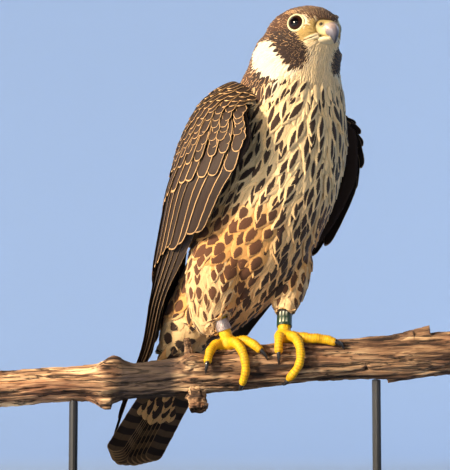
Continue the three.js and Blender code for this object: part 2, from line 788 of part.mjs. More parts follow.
// A ring round the leg, from and to being parts of the leg's length from the knee.
function band(foot) {
  const { from, to, wall } = foot.ring;
  const [top, , bottom] = legRows(foot).map(([x, y, z]) => vec(x, y, z));
  const rows = [0, 1].map((u) => {
    const p = top.clone().lerp(bottom, mix(from, to, u));
    return [p.x, p.y, p.z, LEG.radius + wall, (LEG.radius + wall) * 1.1];
  });
  return without(tube(rows, { sides: 14, steps: 1 }), leg(foot, GAP));
}

// The falcon, piece by piece
const falcon = new THREE.Group();

function place(name, solid, material) {
  const { vertProperties, triVerts, numProp } = largest(solid).getMesh();
  const geometry = new THREE.BufferGeometry();
  const points = new Float32Array((vertProperties.length / numProp) * 3);
  for (let i = 0; i < points.length / 3; i++) {
    points.set(vertProperties.subarray(i * numProp, i * numProp + 3), i * 3);
  }
  geometry.setAttribute("position", new THREE.BufferAttribute(points, 3));
  geometry.setIndex(new THREE.BufferAttribute(triVerts, 1));
  geometry.computeVertexNormals();
  const mesh = new THREE.Mesh(geometry, material);
  mesh.name = name;
  falcon.add(mesh);
}

// Stand
const slab = new THREE.Shape();
const [halfLong, halfWide] = [BASE.long / 2 - BASE.chamfer, BASE.wide / 2 - BASE.chamfer];
slab.moveTo(-halfLong + BASE.corner, -halfWide);
slab.absarc(halfLong - BASE.corner, -halfWide + BASE.corner, BASE.corner, -Math.PI / 2, 0);
slab.absarc(halfLong - BASE.corner, halfWide - BASE.corner, BASE.corner, 0, Math.PI / 2);
slab.absarc(-halfLong + BASE.corner, halfWide - BASE.corner, BASE.corner, Math.PI / 2, Math.PI);
slab.absarc(-halfLong + BASE.corner, -halfWide + BASE.corner, BASE.corner, Math.PI, Math.PI * 1.5);
const baseShape = new THREE.ExtrudeGeometry(slab, {
  depth: BASE.thick - 2 * BASE.chamfer,
  bevelThickness: BASE.chamfer,
  bevelSize: BASE.chamfer,
  bevelSegments: 1,
  curveSegments: 4,
});
baseShape.translate(0, BASE.y, BASE.chamfer);
place("stand_base", solidOf(baseShape), STAND);

for (const [name, x] of [["stand_rod_left", -ROD.x], ["stand_rod_right", ROD.x]]) {
  const [low, high] = [BASE.thick + GAP, branchAxis(x).z];
  const rod = new THREE.CylinderGeometry(ROD.radius, ROD.radius, high - low, 12);
  rod.rotateX(Math.PI / 2);
  rod.translate(x, 0, (low + high) / 2);
  place(name, without(solidOf(rod), branch(GAP)), STAND);
}

// Perch
const perch = joined([branch(), ...STUBS.map(stub)]);
const perchGrown = branch(GAP);
place("branch", perch, WOOD);

// Legs
for (const foot of FEET) {
  const { side, ring } = foot;
  const [trunkGrown, padGrown, legGrown] = [trunk(GAP), pad(foot, GAP), leg(foot, GAP)];
  const trousers = without(thigh(foot.thigh), trunkGrown, legGrown, padGrown, perchGrown);
  place("thigh_" + side, trousers, BREAST);
  place("leg_" + side, without(joined([leg(foot), pad(foot)]), trunkGrown, perchGrown), YELLOW);
  place("band_" + side, without(band(foot), thigh(foot.thigh, GAP), padGrown), ring.material);
  const toesGrown = [];
  for (const one of foot.toes) {
    const name = side + "_" + one.name;
    place("toe_" + name, without(toe(one), padGrown, legGrown, perchGrown, ...toesGrown), YELLOW);
    place("claw_" + name, without(claw(one), toe(one, GAP), perchGrown), CLAW);
    toesGrown.push(toe(one, GAP));
  }
}

// Body, neck and head
const wholeTrunk = trunk();
const tailGrown = tailRoom(GAP);
place("torso", without(wholeTrunk, aboveCut(NECK_CUT, -GAP / 2), tailGrown), BREAST);
const neck = wholeTrunk.intersect(aboveCut(NECK_CUT, GAP / 2));
place("neck", without(neck, aboveCut(HEAD_CUT, -GAP / 2)), BREAST);

const face = without(joined([skull(), wholeTrunk]), socket(1), socket(-1));
const headMass = joined([face, brow(1), brow(-1), lidRing(1), lidRing(-1)]);
const bill = [upperBill, lowerBill, cere];
const eyes = [eyeBall(1, GAP), eyeBall(-1, GAP)];
const head = without(headMass, ...bill.map((piece) => piece(GAP)), ...eyes, gapeLine());
place("head", head.intersect(aboveCut(HEAD_CUT, GAP / 2)), CROWN);
place("eye_right", eyeBall(-1), EYE_DARK);
place("eye_left", eyeBall(1), EYE_DARK);
place("bill_upper", upperBill(), HORN);
const hookRoom = [upperBill(), upperBill().translate(0, 0, -GAP), upperBill(GAP)];
place("bill_lower", without(lowerBill(), ...hookRoom, cere(GAP)), HORN);
place("cere", without(cere(), upperBill(GAP), nostril(1), nostril(-1)), CERE_SKIN);

// Wings and tail
const kept = [trunk(GAP), thigh(RIGHT_THIGH, GAP), thigh(LEFT_THIGH, GAP), tailGrown];
place("wing_right", without(wing(RIGHT_WING), ...kept), BACK);
place("wing_left", without(wing(LEFT_WING), ...kept), BACK);
place("tail", without(tail(), trunk(GAP).subtract(tailRoom(0))), BACK);

export default falcon;
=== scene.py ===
"""A life-size still model of a young peregrine falcon on a cut length of dead branch, held above a
flat base by two short rods. Metres, +Z up. The falcon faces between -Y and +X."""

import math

import bmesh
import bpy
import numpy as np
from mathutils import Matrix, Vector, noise
from mathutils.bvhtree import BVHTree


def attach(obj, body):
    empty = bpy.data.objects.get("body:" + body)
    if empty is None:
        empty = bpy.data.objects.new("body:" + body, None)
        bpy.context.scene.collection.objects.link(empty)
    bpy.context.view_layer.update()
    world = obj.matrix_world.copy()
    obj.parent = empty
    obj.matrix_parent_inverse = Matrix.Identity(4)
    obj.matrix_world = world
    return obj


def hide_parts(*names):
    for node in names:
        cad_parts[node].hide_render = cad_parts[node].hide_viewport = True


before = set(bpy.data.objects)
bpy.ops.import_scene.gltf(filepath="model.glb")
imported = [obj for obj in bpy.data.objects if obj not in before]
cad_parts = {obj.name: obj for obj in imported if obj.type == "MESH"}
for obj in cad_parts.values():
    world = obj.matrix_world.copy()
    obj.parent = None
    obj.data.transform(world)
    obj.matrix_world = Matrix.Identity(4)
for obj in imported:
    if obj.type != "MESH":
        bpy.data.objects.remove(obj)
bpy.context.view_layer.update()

# Studio. A wide pale floor curves up at its rim as the backdrop. A warm lamp on the left is the low sun,
# and two narrow beams open the wing's shadow on the breast. Weak cool lamps light the shaded side, the
# edges and the backdrop under a pale sky. The camera looks up a little.
FLOOR_REACH = 2.4
FLOOR_RIM = 3.0
RIM_STEPS = 8
FLOOR_GAP = 0.0005
CAMERA_AIM = Vector((0, 0, 0.2344))
CAMERA_DISTANCE = 1.7
CAMERA_RISE = math.radians(-6)
CAMERA_FOCUS = 141.55
SUN_COLOUR = (1.0, 0.83, 0.58)
SHADE_COLOUR = (0.70, 0.83, 1.0)
SKY_COLOUR = (0.56, 0.72, 0.95, 1)
SKY_STRENGTH = 0.06


class Wire:
    """A socket in a material. Arithmetic on it adds Math nodes."""

    def __init__(self, tree, socket=None):
        self.tree = tree
        self.socket = socket

    def add(self, kind, settings=None, sockets=None, out=0):
        """Any other node: its type, its settings, then the values or wires of its sockets."""
        node = self.tree.nodes.new(kind)
        for name, value in (settings or {}).items():
            if name == "stops":
                while len(node.color_ramp.elements) < len(value):
                    node.color_ramp.elements.new(0.5)
                for stop, (place, colour) in zip(node.color_ramp.elements, value):
                    stop.position = place
                    stop.color = colour
            else:
                setattr(node, name, value)
        for name, value in (sockets or {}).items():
            if isinstance(value, Wire):
                self.tree.links.new(value.socket, node.inputs[name])
            else:
                node.inputs[name].default_value = value
        return Wire(self.tree, node.outputs[out])

    def output(self, out):
        """Another output of the same node."""
        return Wire(self.tree, self.socket.node.outputs[out])

    def place(self):
        """The place on the piece, in its Object coordinates."""
        return self.add("ShaderNodeTexCoord", out=3)

    def attribute(self, name, out=0):
        return self.add("ShaderNodeAttribute", {"attribute_name": name}, out=out)

    def stretched(self, x, y, z, **more):
        """This wire's place with each axis scaled."""
        return self.add("ShaderNodeMapping", {}, {"Vector": self, "Scale": (x, y, z), **more})

    def noise(self, scale=1.0, detail=2.0, **more):
        """A noise from 0 to 1 at this wire's place."""
        sockets = {"Vector": self, "Scale": scale, "Detail": detail, **more}
        return self.add("ShaderNodeTexNoise", {}, sockets)

    def cells(self, scale):
        """How far this wire's place is from the edges of rounded cells."""
        edges = {"feature": "DISTANCE_TO_EDGE"}
        return self.add("ShaderNodeTexVoronoi", edges, {"Vector": self, "Scale": scale})

    def distance(self, point):
        return self.add("ShaderNodeVectorMath", {"operation": "DISTANCE"}, {0: self, 1: point}, 1)

    def ramp(self, *stops):
        """The colour that the value has on a ramp of such stops."""
        return self.add("ShaderNodeValToRGB", {"stops": stops}, {"Fac": self})

    def scaled(self, by):
        """A colour or a vector times a value."""
        return self.add("ShaderNodeVectorMath", {"operation": "SCALE"}, {0: self, 3: by})

    def sum(self, operation, *others, clamp=False):
        sockets = dict(enumerate(others))
        return self.add("ShaderNodeMath", {"operation": operation, "use_clamp": clamp}, sockets)

    def __add__(self, other):
        return self.sum("ADD", self, other)

    def __sub__(self, other):
        return self.sum("SUBTRACT", self, other)

    def __rsub__(self, other):
        return self.sum("SUBTRACT", other, self)

    def __mul__(self, other):
        return self.sum("MULTIPLY", self, other)

    def __truediv__(self, other):
        return self.sum("DIVIDE", self, other)

    def __pow__(self, other):
        return self.sum("POWER", self, other)

    def __abs__(self):
        return self.sum("ABSOLUTE", self)

    __radd__ = __add__
    __rmul__ = __mul__

    def held(self):
        """The value kept between 0 and 1."""
        return self.sum("ADD", self, 0.0, clamp=True)

    def tinted(self, first, second):
        """A colour between first, where the value is 0, and second, where it is 1."""
        return self.add("ShaderNodeMix", {"data_type": "RGBA"}, {0: self, 6: first, 7: second}, 2)


def colour(red, green, blue):
    """A colour given as seen on screen, from 0 to 255, in the linear values that nodes take."""
    screen = [part / 255 for part in (red, green, blue)]
    return (*[p / 12.92 if p <= 0.04045 else ((p + 0.055) / 1.055) ** 2.4 for p in screen], 1.0)


def new_finish(name, **constants):
    """A material, a wire in it, and its shader, whose sockets take the constants."""
    material = bpy.data.materials.new(name)
    material.use_nodes = True
    tree = material.node_tree
    shader = next(node for node in tree.nodes if node.type == "BSDF_PRINCIPLED")
    for socket, value in constants.items():
        shader.inputs[socket.replace("_", " ")].default_value = value
    return material, Wire(tree), shader


def fed(wire, shader, socket, bump=None, strength=0.3, distance=0.001):
    """Links a wire to a socket of the shader, or a height to its normal through a Bump node."""
    if bump is None:
        wire.tree.links.new(wire.socket, shader.inputs[socket])
        return
    lifted = wire.add("ShaderNodeBump", {}, {"Strength": strength, "Distance": distance, "Height": bump})
    wire.tree.links.new(lifted.socket, shader.inputs["Normal"])


def new_object(name, mesh, material):
    piece = bpy.data.objects.new(name, mesh)
    bpy.context.scene.collection.objects.link(piece)
    mesh.materials.clear()
    mesh.materials.append(material)
    mesh.polygons.foreach_set("use_smooth", [True] * len(mesh.polygons))
    return piece


def finished(shape, name, material):
    """A bmesh made into an object, faces pointing outwards."""
    bmesh.ops.recalc_face_normals(shape, faces=shape.faces)
    mesh = bpy.data.meshes.new(name)
    shape.to_mesh(mesh)
    shape.free()
    return new_object(name, mesh, material)


floor_finish, wire, shader = new_finish("pale_floor", Roughness=0.9)
shader.inputs["Base Color"].default_value = colour(172, 192, 222)
floor_shape = bmesh.new()
bmesh.ops.create_circle(floor_shape, cap_ends=True, segments=64, radius=FLOOR_REACH)
rim = [edge for edge in floor_shape.edges if edge.is_boundary]
for step in range(1, RIM_STEPS + 1):
    turn = math.radians(90 * step / RIM_STEPS)
    grown = bmesh.ops.extrude_edge_only(floor_shape, edges=rim)["geom"]
    reach = (FLOOR_REACH + FLOOR_RIM * math.sin(turn)) / FLOOR_REACH
    for vert in (part for part in grown if isinstance(part, bmesh.types.BMVert)):
        flat = Vector((vert.co.x, vert.co.y, 0)).normalized() * FLOOR_REACH * reach
        vert.co = Vector((flat.x, flat.y, FLOOR_RIM * (1 - math.cos(turn))))
    rim = [part for part in grown if isinstance(part, bmesh.types.BMEdge)]
floor = finished(floor_shape, "floor", floor_finish)
for vert in floor.data.vertices:
    vert.co.z -= FLOOR_GAP


def lamp(name, place, strength, size, tint, aim=CAMERA_AIM, cone=None):
    """A square soft lamp, or with a cone in degrees a spot lamp of that beam."""
    light = bpy.data.lights.new(name, "SPOT" if cone else "AREA")
    light.energy = strength
    light.color = tint
    if cone:
        light.shadow_soft_size = size
        light.spot_size = math.radians(cone)
        light.spot_blend = 0.9
    else:
        light.size = size
    holder = bpy.data.objects.new(name, light)
    holder.location = place
    holder.rotation_mode = "QUATERNION"
    holder.rotation_quaternion = (Vector(aim) - Vector(place)).to_track_quat("-Z", "Y")
    bpy.context.scene.collection.objects.link(holder)


lamp("low_sun", (-3.15, -2.3, 1.5), 330, 0.5, SUN_COLOUR)
lamp("breast_spot_high", (-1.3, -2.7, 1.2), 1300, 0.2, SUN_COLOUR, aim=(0.030, -0.05, 0.310), cone=2.1)
lamp("breast_spot_low", (-1.3, -2.7, 1.2), 1300, 0.2, SUN_COLOUR, aim=(0.014, -0.05, 0.258), cone=2.1)
lamp("shade_fill", (2.6, -2.2, 1.2), 1, 1.6, SHADE_COLOUR)
lamp("edge_light", (2.0, 0.9, 1.6), 7, 0.8, SHADE_COLOUR)
lamp("wall_wash_left", (-2.0, 1.6, 2.6), 52, 1.5, SHADE_COLOUR, aim=(-0.8, 5.0, 0.6))
lamp("wall_wash_right", (2.0, 1.6, 2.6), 68, 1.5, SHADE_COLOUR, aim=(0.8, 5.0, 0.6))
world = bpy.data.worlds.new("pale_sky")
world.use_nodes = True
sky = world.node_tree.nodes["Background"]
sky.inputs["Color"].default_value = SKY_COLOUR
sky.inputs["Strength"].default_value = SKY_STRENGTH
bpy.context.scene.world = world
bpy.context.scene.view_settings.view_transform = "Standard"

camera = bpy.data.objects.new("camera", bpy.data.cameras.new("camera"))
camera.data.lens = CAMERA_FOCUS
camera.data.clip_end = 50
back = Vector((0, -math.cos(CAMERA_RISE), math.sin(CAMERA_RISE)))
camera.location = CAMERA_AIM + back * CAMERA_DISTANCE
camera.rotation_mode = "QUATERNION"
camera.rotation_quaternion = (-back).to_track_quat("-Z", "Y")
bpy.context.scene.collection.objects.link(camera)
bpy.context.scene.camera = camera

# Stand. A flat board with matt dark grey paint and two steel rods with satin paint, pressed into
# holes under the branch. It isn't part of the living bird, and is kept plain.
board_finish, wire, shader = new_finish("board_paint")
speckle = wire.place().noise(320.0, 4.0)
cloud = wire.place().noise(14.0, 3.0)
fed(cloud.tinted(colour(56, 55, 57), colour(68, 67, 69)), shader, "Base Color")
fed(0.5 + 0.25 * speckle, shader, "Roughness")
fed(wire, shader, "Normal", bump=speckle, strength=0.25, distance=0.0004)
rod_finish, wire, shader = new_finish("rod_paint", Metallic=0.35)
scratch = wire.place().stretched(900, 900, 30).noise(detail=3.0)
fed(scratch.tinted(colour(54, 54, 57), colour(74, 74, 78)), shader, "Base Color")
fed(0.3 + 0.3 * scratch, shader, "Roughness")
paints = {"stand_base": board_finish, "stand_rod_left": rod_finish, "stand_rod_right": rod_finish}
for node, paint in paints.items():
    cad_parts[node].data.materials.clear()
    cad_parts[node].data.materials.append(paint)

# Branch. A dead, barkless length of hardwood, weathered grey-brown and split along its grain, with
# knots, a broken stub on top and a hollow twig stub below. Both ends are sawn.
# The place of the branch's middle line where the bird stands, the origin of its own frame
STANCE = np.array([0.0285, 0, 0.112])
BRANCH_FROM = -0.212
BRANCH_TO = 0.222
BRANCH_SLOPE = 0.087
BRANCH_RADIUS = 0.0184
# Each knot's place along the branch, angle round it, height and spread along it
KNOTS = [(-101, -8, 9, 11), (-108, 58, 4, 12), (-108, 168, 6, 10), (-30, 55, 6, 11), (160, 170, 4, 26)]
# Each splinter's foot and tip along the branch, angle round it, degrees to either side, and height
SPLINTERS = [
    (112, 187, 4, 26, 7.5),
    (150, 172, 18, 15, 3),
    (-138, -103, 168, 24, 6),
    (170, 148, 176, 20, 4),
    (205, 190, 172, 16, 3),
]
# Each stub's place along the branch, angle round it, reach, radius, radius of its tip, and lean
STUBS = [(-31, 14, 33, 4.2, 2.6, -4), (-27, 158, 34, 8, 7.4, 3)]
STUB_ROOT = 0.012
HOLLOW_FROM = 5
CRACK_DEPTH = 0.0031
NARROW_DEPTH = 0.0015
RIDGE_HEIGHT = 0.0007
LEDGE_HEIGHT = 0.0007
CHIP_HEIGHT = 0.0004
WOOD_INSET = 0.0004
# Along the branch, where a shadow is painted dark on the wood, between its lighter left end and the feet
PAINTED_SHADOW_FROM = -0.104
PAINTED_SHADOW_TO = -0.036


def rod(sides, steps):
    """A closed rod of radius 1 from z = 0 to 1 with steps lengths."""
    shape = bmesh.new()
    bmesh.ops.create_cone(shape, cap_ends=True, segments=sides, radius1=1, radius2=1, depth=1)
    bmesh.ops.translate(shape, verts=shape.verts, vec=(0, 0, 0.5))
    lengths = [e for e in shape.edges if abs(e.verts[0].co.z - e.verts[1].co.z) > 0.5]
    bmesh.ops.subdivide_edges(shape, edges=lengths, cuts=steps - 1, use_grid_fill=True)
    return shape


def shaped(shape, place):
    """Moves each vertex of a rod to place(u, angle), u running from its foot to its top."""
    for vert in shape.verts:
        vert.co = Vector(place(min(max(vert.co.z, 0), 1), math.atan2(vert.co.y, vert.co.x)))
    return shape


def branch_axis(x):
    rise = (x - STANCE[0]) * BRANCH_SLOPE + 0.0015 * math.sin(x / 0.037)
    return Vector((x, 0, STANCE[2] + rise))


def branch_reach(x, angle):
    """The radius of the wood, the angle running from the top towards -Y."""
    reach = BRANCH_RADIUS * (1 + 0.06 * math.sin(x / 0.041 + 1) + 0.5 * (x - STANCE[0]))
    reach += 0.0009 * math.sin(3 * angle + x / 0.06) + 0.0005 * math.sin(5 * angle - x / 0.033)
    for knot_x, knot_angle, high, spread in KNOTS:
        turn = angle - math.radians(knot_angle)
        turn = math.atan2(math.sin(turn), math.cos(turn))
        away = ((x * 1000 - knot_x) / spread) ** 2 + (turn / 0.7) ** 2
        reach += high / 1000 * math.exp(-away)
    return reach


def on_branch(x, angle, over):
    reach = branch_reach(x, angle) + over
    return branch_axis(x) + Vector((0, -reach * math.sin(angle), reach * math.cos(angle)))


def split(x, angle):
    """How deep the weathered grain is cut at a place: long cracks, finer ridges and flaking plates."""
    around = Vector((x * 11, 3.1 * math.cos(angle), 3.1 * math.sin(angle)))
    drift = noise.noise(around * 0.7) * 1.1
    fine = Vector((x * 24, 8 * math.cos(angle + drift * 0.2), 8 * math.sin(angle + drift * 0.2)))
    crack = 1 - min(abs(noise.noise(around + Vector((0, drift, 0)))) * 9, 1)
    narrow = 1 - min(abs(noise.noise(fine * 0.8 + Vector((9, 4, 2)))) * 6, 1)
    ridge = noise.noise(fine * 1.4)
    plate = noise.noise(Vector((x * 38 + 5, 3.6 * math.cos(angle), 3.6 * math.sin(angle))))
    ledge = math.floor(plate * 4.5 + drift) * 0.5
    chips = noise.noise(Vector((x * 140, 5 * math.cos(angle), 5 * math.sin(angle))))
    cut = CRACK_DEPTH * crack**2 + NARROW_DEPTH * narrow
    return cut - RIDGE_HEIGHT * ridge - LEDGE_HEIGHT * ledge - CHIP_HEIGHT * chips


def splinter(x, angle):
    """How high a torn splinter stands up at a place: two lie along the top and three below."""
    high = 0
    for start, tip, over, spread, reach in SPLINTERS:
        run = (x * 1000 - start) / (tip - start)
        turn = math.atan2(math.sin(angle - math.radians(over)), math.cos(angle - math.radians(over)))
        if 0 < run < 1:
            high += reach / 1000 * run**1.6 * max(1 - abs(turn) / math.radians(spread), 0)
    return high


def wood(u, angle):
    x = BRANCH_FROM + (BRANCH_TO - BRANCH_FROM) * u
    return on_branch(x, angle, splinter(x, angle) - split(x, angle) - WOOD_INSET)


wood_finish, wire, shader = new_finish("weathered_wood")
place = wire.place()
strand = place.stretched(12, 190, 190).noise(detail=7.0, Distortion=0.7)
patch = place.stretched(22, 60, 60).noise(detail=4.0)
grain = strand.ramp(
    (0.32, colour(44, 31, 27)),
    (0.42, colour(104, 78, 62)),
    (0.52, colour(160, 127, 100)),
    (0.66, colour(222, 190, 154)),
)
stain = patch.ramp((0.36, colour(168, 128, 108)), (0.56, colour(255, 248, 236)))
multiply = {"data_type": "RGBA", "blend_type": "MULTIPLY"}
dyed = wire.add("ShaderNodeMix", multiply, {0: 0.75, 6: grain, 7: stain}, 2)
seam = place.stretched(9, 120, 120, Location=(3, 1, 7)).noise(detail=5.0, Distortion=0.4)
cracked = (1 - abs(seam - 0.5) * 34).held()
across = wire.add("ShaderNodeSeparateXYZ", {}, {0: place})
# Lighter towards the left end
left_end = ((PAINTED_SHADOW_FROM - across) * 90 + patch * 2 - 1).held()
lighter_left = left_end.tinted(dyed, dyed.scaled(1.8))
# Painted shadow: the wood is painted dark between the lighter left end and the feet
painted_shadow = ((across - PAINTED_SHADOW_FROM) * 90 + patch - 0.5).held() * ((PAINTED_SHADOW_TO - across) * 70 + patch - 0.5).held()
weathered = (painted_shadow * 0.92).tinted(lighter_left, colour(58, 48, 48))
# The cracks along the seams are painted near black, as painted shade in their depths
fed(cracked.tinted(weathered, colour(34, 24, 20)), shader, "Base Color")
fed(0.7 + 0.3 * patch, shader, "Roughness")
fed(wire, shader, "Normal", bump=strand - cracked * 0.5, strength=0.9, distance=0.0014)


def poured(part, whole):
    """Adds one bmesh to another and frees it."""
    mesh = bpy.data.meshes.new("part")
    part.to_mesh(mesh)
    part.free()
    whole.from_mesh(mesh)
    bpy.data.meshes.remove(mesh)


perch_shape = bmesh.new()
poured(shaped(rod(150, 420), wood), perch_shape)
for stub_x, stub_angle, reach, radius, tip, lean in STUBS:
    foot = on_branch(stub_x / 1000, math.radians(stub_angle), -STUB_ROOT)
    head = on_branch((stub_x + lean) / 1000, math.radians(stub_angle), reach / 1000 - BRANCH_RADIUS)
    ahead = (head - foot).normalized()
    side = Vector((1, 0, 0)).cross(ahead).normalized()
    over = ahead.cross(side)

    def twig(u, angle):
        thick = (radius + (tip - radius) * u + 3.2 * math.exp(-((u / 0.42) ** 2))) / 1000
        rough = noise.noise(Vector((2 * math.cos(angle), 2 * math.sin(angle), 5 * u + stub_x)))
        rough += 0.6 * noise.noise(Vector((5 * math.cos(angle), 5 * math.sin(angle), 9 * u + stub_x)))
        thick *= 1 + 0.34 * rough
        middle = foot.lerp(head, u)
        return middle + thick * (math.cos(angle) * side + math.sin(angle) * over)

    stub_shape = shaped(rod(32, 22), twig)
    stub_shape.faces.ensure_lookup_table()
    ends = [face for face in stub_shape.faces if len(face.verts) > 4]
    top = max(ends, key=lambda face: (face.calc_center_median() - foot).dot(ahead))
    wall, deep = (0.0014, 0.005) if tip > HOLLOW_FROM else (0.0008, 0.001)
    bmesh.ops.inset_individual(stub_shape, faces=[top], thickness=wall)
    bmesh.ops.translate(stub_shape, verts=top.verts, vec=-ahead * deep)
    poured(stub_shape, perch_shape)
perch = finished(perch_shape, "perch_wood", wood_finish)
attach(perch, "root")
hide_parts("branch")

# Skin. The one seamless body under the feathers, joined from trunk, neck, head, thighs, the flesh of
# both folded wings and the tail's muscle. It lies a coat's depth inside the outline and wears the
# colours of the coat that is rooted in it.
YAW = math.radians(42)
# Each wing from shoulder to tip: x, y, z of its front edge, of the middle pull and of its back edge in
# the bird's frame, then its thickness
RIGHT_WING = [
    [-38, -46, 240, -52, -8, 276, -12, 20, 256, 10],
    [-61, -55, 226, -98, 8, 242, -16, 38, 236, 22],
    [-67, -66, 203, -113, 37, 206, -15, 52, 206, 24],
    [-70, -57, 180, -114, 48, 182, -15, 62, 182, 23],
    [-70, -32, 155, -111, 57, 158, -16, 69, 157, 21],
    [-62, 14, 110, -94, 72, 112, -22, 87, 111, 14],
    [-58, 60, 65, -80, 86, 66, -20, 99, 63, 9],
    [-52, 92, 19, -61, 106, 18, -29, 114, 16, 6],
    [-51, 124, -22, -54, 136, -23, -29, 143, -24, 4.5],
    [-47, 155, -70, -46, 166, -72, -32, 171, -72, 2],
]
LEFT_WING = [
    [50, -44, 240, 62, -6, 274, 24, 20, 254, 10],
    [73, -60, 227, 104, 6, 240, 30, 38, 234, 22],
    [83, -59, 204, 118, 32, 206, 30, 52, 204, 24],
    [84, -56, 178, 118, 45, 180, 29, 62, 180, 23],
    [82, -42, 150, 116, 56, 152, 29, 69, 155, 21],
    [72, -10, 102, 99, 70, 102, 31, 87, 108, 14],
    [62, 38, 60, 84, 84, 60, 24, 101, 60, 9],
    [53, 84, 20, 62, 106, 16, 25, 115, 14, 6],
    [31, 118, -22, 35, 134, -24, 9, 141, -26, 4.5],
    [12, 154, -70, 12, 164, -73, -3, 169, -72, 2],
]


def bird(points):
    """Points in millimetres of the bird's own frame, x to its left and y to its back, in metres."""
    points = np.asarray(points, float)
    x, y, z = points[..., 0], points[..., 1], points[..., 2]
    turned = [x * math.cos(YAW) - y * math.sin(YAW), x * math.sin(YAW) + y * math.cos(YAW), z]
    return np.stack(turned, -1) / 1000 + STANCE


def unbird(points):
    """The reverse of bird."""
    x, y, z = np.moveaxis((np.asarray(points, float) - STANCE) * 1000, -1, 0)
    return np.stack([x * math.cos(YAW) + y * math.sin(YAW), -x * math.sin(YAW) + y * math.cos(YAW), z], -1)


def along(rows, u):
    """A smooth run through equally spaced rows of numbers, read at u from 0 to 1."""
    rows = np.asarray(rows, float)
    last = len(rows) - 1
    spot = np.clip(np.asarray(u, float), 0, 1) * last
    i = np.minimum(spot.astype(int), last - 1)
    f = (spot - i)[..., None]
    a, b, d, e = (rows[np.clip(i + k, 0, last)] for k in (-1, 0, 1, 2))
    return b + 0.5 * f * (d - a + f * (2 * a - 5 * b + 4 * d - e + f * (3 * (b - d) + e - a)))


def unit(vectors):
    return vectors / np.maximum(np.linalg.norm(vectors, axis=-1, keepdims=True), 1e-12)


def wing_point(rows, s, t):
    """A folded wing's outer surface, s from shoulder to tip and t from front edge to back edge."""
    row = along(rows, s)
    t = np.asarray(t, float)[..., None]
    return (1 - t) ** 2 * row[..., :3] + 2 * t * (1 - t) * row[..., 3:6] + t * t * row[..., 6:9]


def wing_normal(rows, s, t):
    s, t = np.broadcast_arrays(np.asarray(s, float), np.asarray(t, float))
    down = wing_point(rows, np.minimum(s + 0.01, 1), t) - wing_point(rows, np.maximum(s - 0.01, 0), t)
    over = wing_point(rows, s, np.minimum(t + 0.01, 1)) - wing_point(rows, s, np.maximum(t - 0.01, 0))
    normal = unit(np.cross(down, over))
    return -normal if rows is RIGHT_WING else normal


CORE_END = 0.57
CORE_INSET = 5


def wing_flesh(rows):
    """The core of a folded wing, under its feathers."""

    def place(u, angle):
        s = CORE_END * u
        part = (angle / math.tau) % 1
        outer = part < 0.5
        t = 2 * part if outer else 2 - 2 * part
        t = 0.5 + (t - 0.5) * (1 - 0.2 * max(u - 0.85, 0) / 0.15)
        normal = wing_normal(rows, s, t)
        thick = along(rows, s)[9] - CORE_INSET
        fullness = math.sin(math.pi * (0.06 + 0.88 * t)) ** 0.5
        inward = CORE_INSET if outer else CORE_INSET + max(thick * fullness, 0.8)
        return bird(wing_point(rows, s, t) - normal * inward)

    return shaped(rod(40, 40), place)


TAIL_ROOT = np.array([-4, 80, 32.0])
TAIL_TIP = np.array([-22, 168, -89.0])
TAIL_TWIST = math.radians(-12)
tail_side = np.array([math.cos(TAIL_TWIST), math.sin(TAIL_TWIST), 0])
tail_ahead = unit(TAIL_TIP - TAIL_ROOT)
tail_out = unit(np.cross(tail_side, tail_ahead))
tail_across = np.cross(tail_ahead, tail_out)


def tail_point(u, over, high):
    u, over, high = (np.asarray(part, float)[..., None] for part in (u, over, high))
    return TAIL_ROOT + (TAIL_TIP - TAIL_ROOT) * u + tail_across * over + tail_out * high


def tail_flesh():
    """The muscle at the tail's root, from which its feathers grow."""

    def place(u, angle):
        wide = 13 + 9 * math.sin(math.pi * min(u + 0.2, 1))
        high = 8 - 4 * u
        return bird(tail_point(-0.1 + 0.45 * u, wide * math.cos(angle), high * math.sin(angle) - 2 * u))

    return shaped(rod(24, 12), place)


# How deep the skin lies under each solid's outline, and under the wings' cores
COAT_DEPTH = {"torso": 3.2, "neck": 2.4, "head": 1.1, "thigh_right": 2.6, "thigh_left": 2.2}
CORE_DEPTH = 0.3
CORE_MARGIN = 0.0005
SKIN_VOXEL = 0.0019
DEPTH_ROUNDS = 12
flesh_shape = bmesh.new()
trees = {}
for node in COAT_DEPTH:
    solid = bmesh.new()
    solid.from_mesh(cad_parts[node].data)
    bmesh.ops.remove_doubles(solid, verts=solid.verts, dist=1e-5)
    trees[node] = BVHTree.FromBMesh(solid)
    solid.free()
    flesh_shape.from_mesh(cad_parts[node].data)
bmesh.ops.remove_doubles(flesh_shape, verts=flesh_shape.verts, dist=1e-5)
wing_trees = {}
for side, rows in (("right", RIGHT_WING), ("left", LEFT_WING)):
    core = wing_flesh(rows)
    wing_trees[side] = BVHTree.FromBMesh(core)
    poured(core, flesh_shape)
poured(tail_flesh(), flesh_shape)
bmesh.ops.recalc_face_normals(flesh_shape, faces=flesh_shape.faces)

skin_finish, wire, shader = new_finish("skin_under_feathers", Roughness=0.85)
fed(wire.attribute("plumage"), shader, "Base Color")
skin = finished(flesh_shape, "skin", skin_finish)
remesh = skin.modifiers.new("remesh", "REMESH")
remesh.mode = "VOXEL"
remesh.voxel_size = SKIN_VOXEL
remesh.use_smooth_shade = True
softer = skin.modifiers.new("softer", "SMOOTH")
softer.iterations = 6
softer.factor = 0.5
bpy.context.view_layer.update()
made = bpy.data.meshes.new_from_object(skin.evaluated_get(bpy.context.evaluated_depsgraph_get()))
skin.modifiers.clear()
skin.data = made
skin.data.materials.clear()
skin.data.materials.append(skin_finish)


def part_of(point):
    """The part of the body nearest to a point. A wing's core has to be nearer by a margin."""
    best, least = "torso", 1e9
    for node, tree in trees.items():
        away = tree.find_nearest(point)[3]
        if away < least - 1e-5:
            best, least = node, away
    for side, tree in wing_trees.items():
        away = tree.find_nearest(point)[3]
        if away < least - CORE_MARGIN:
            best, least = "wing_" + side, away
    return best


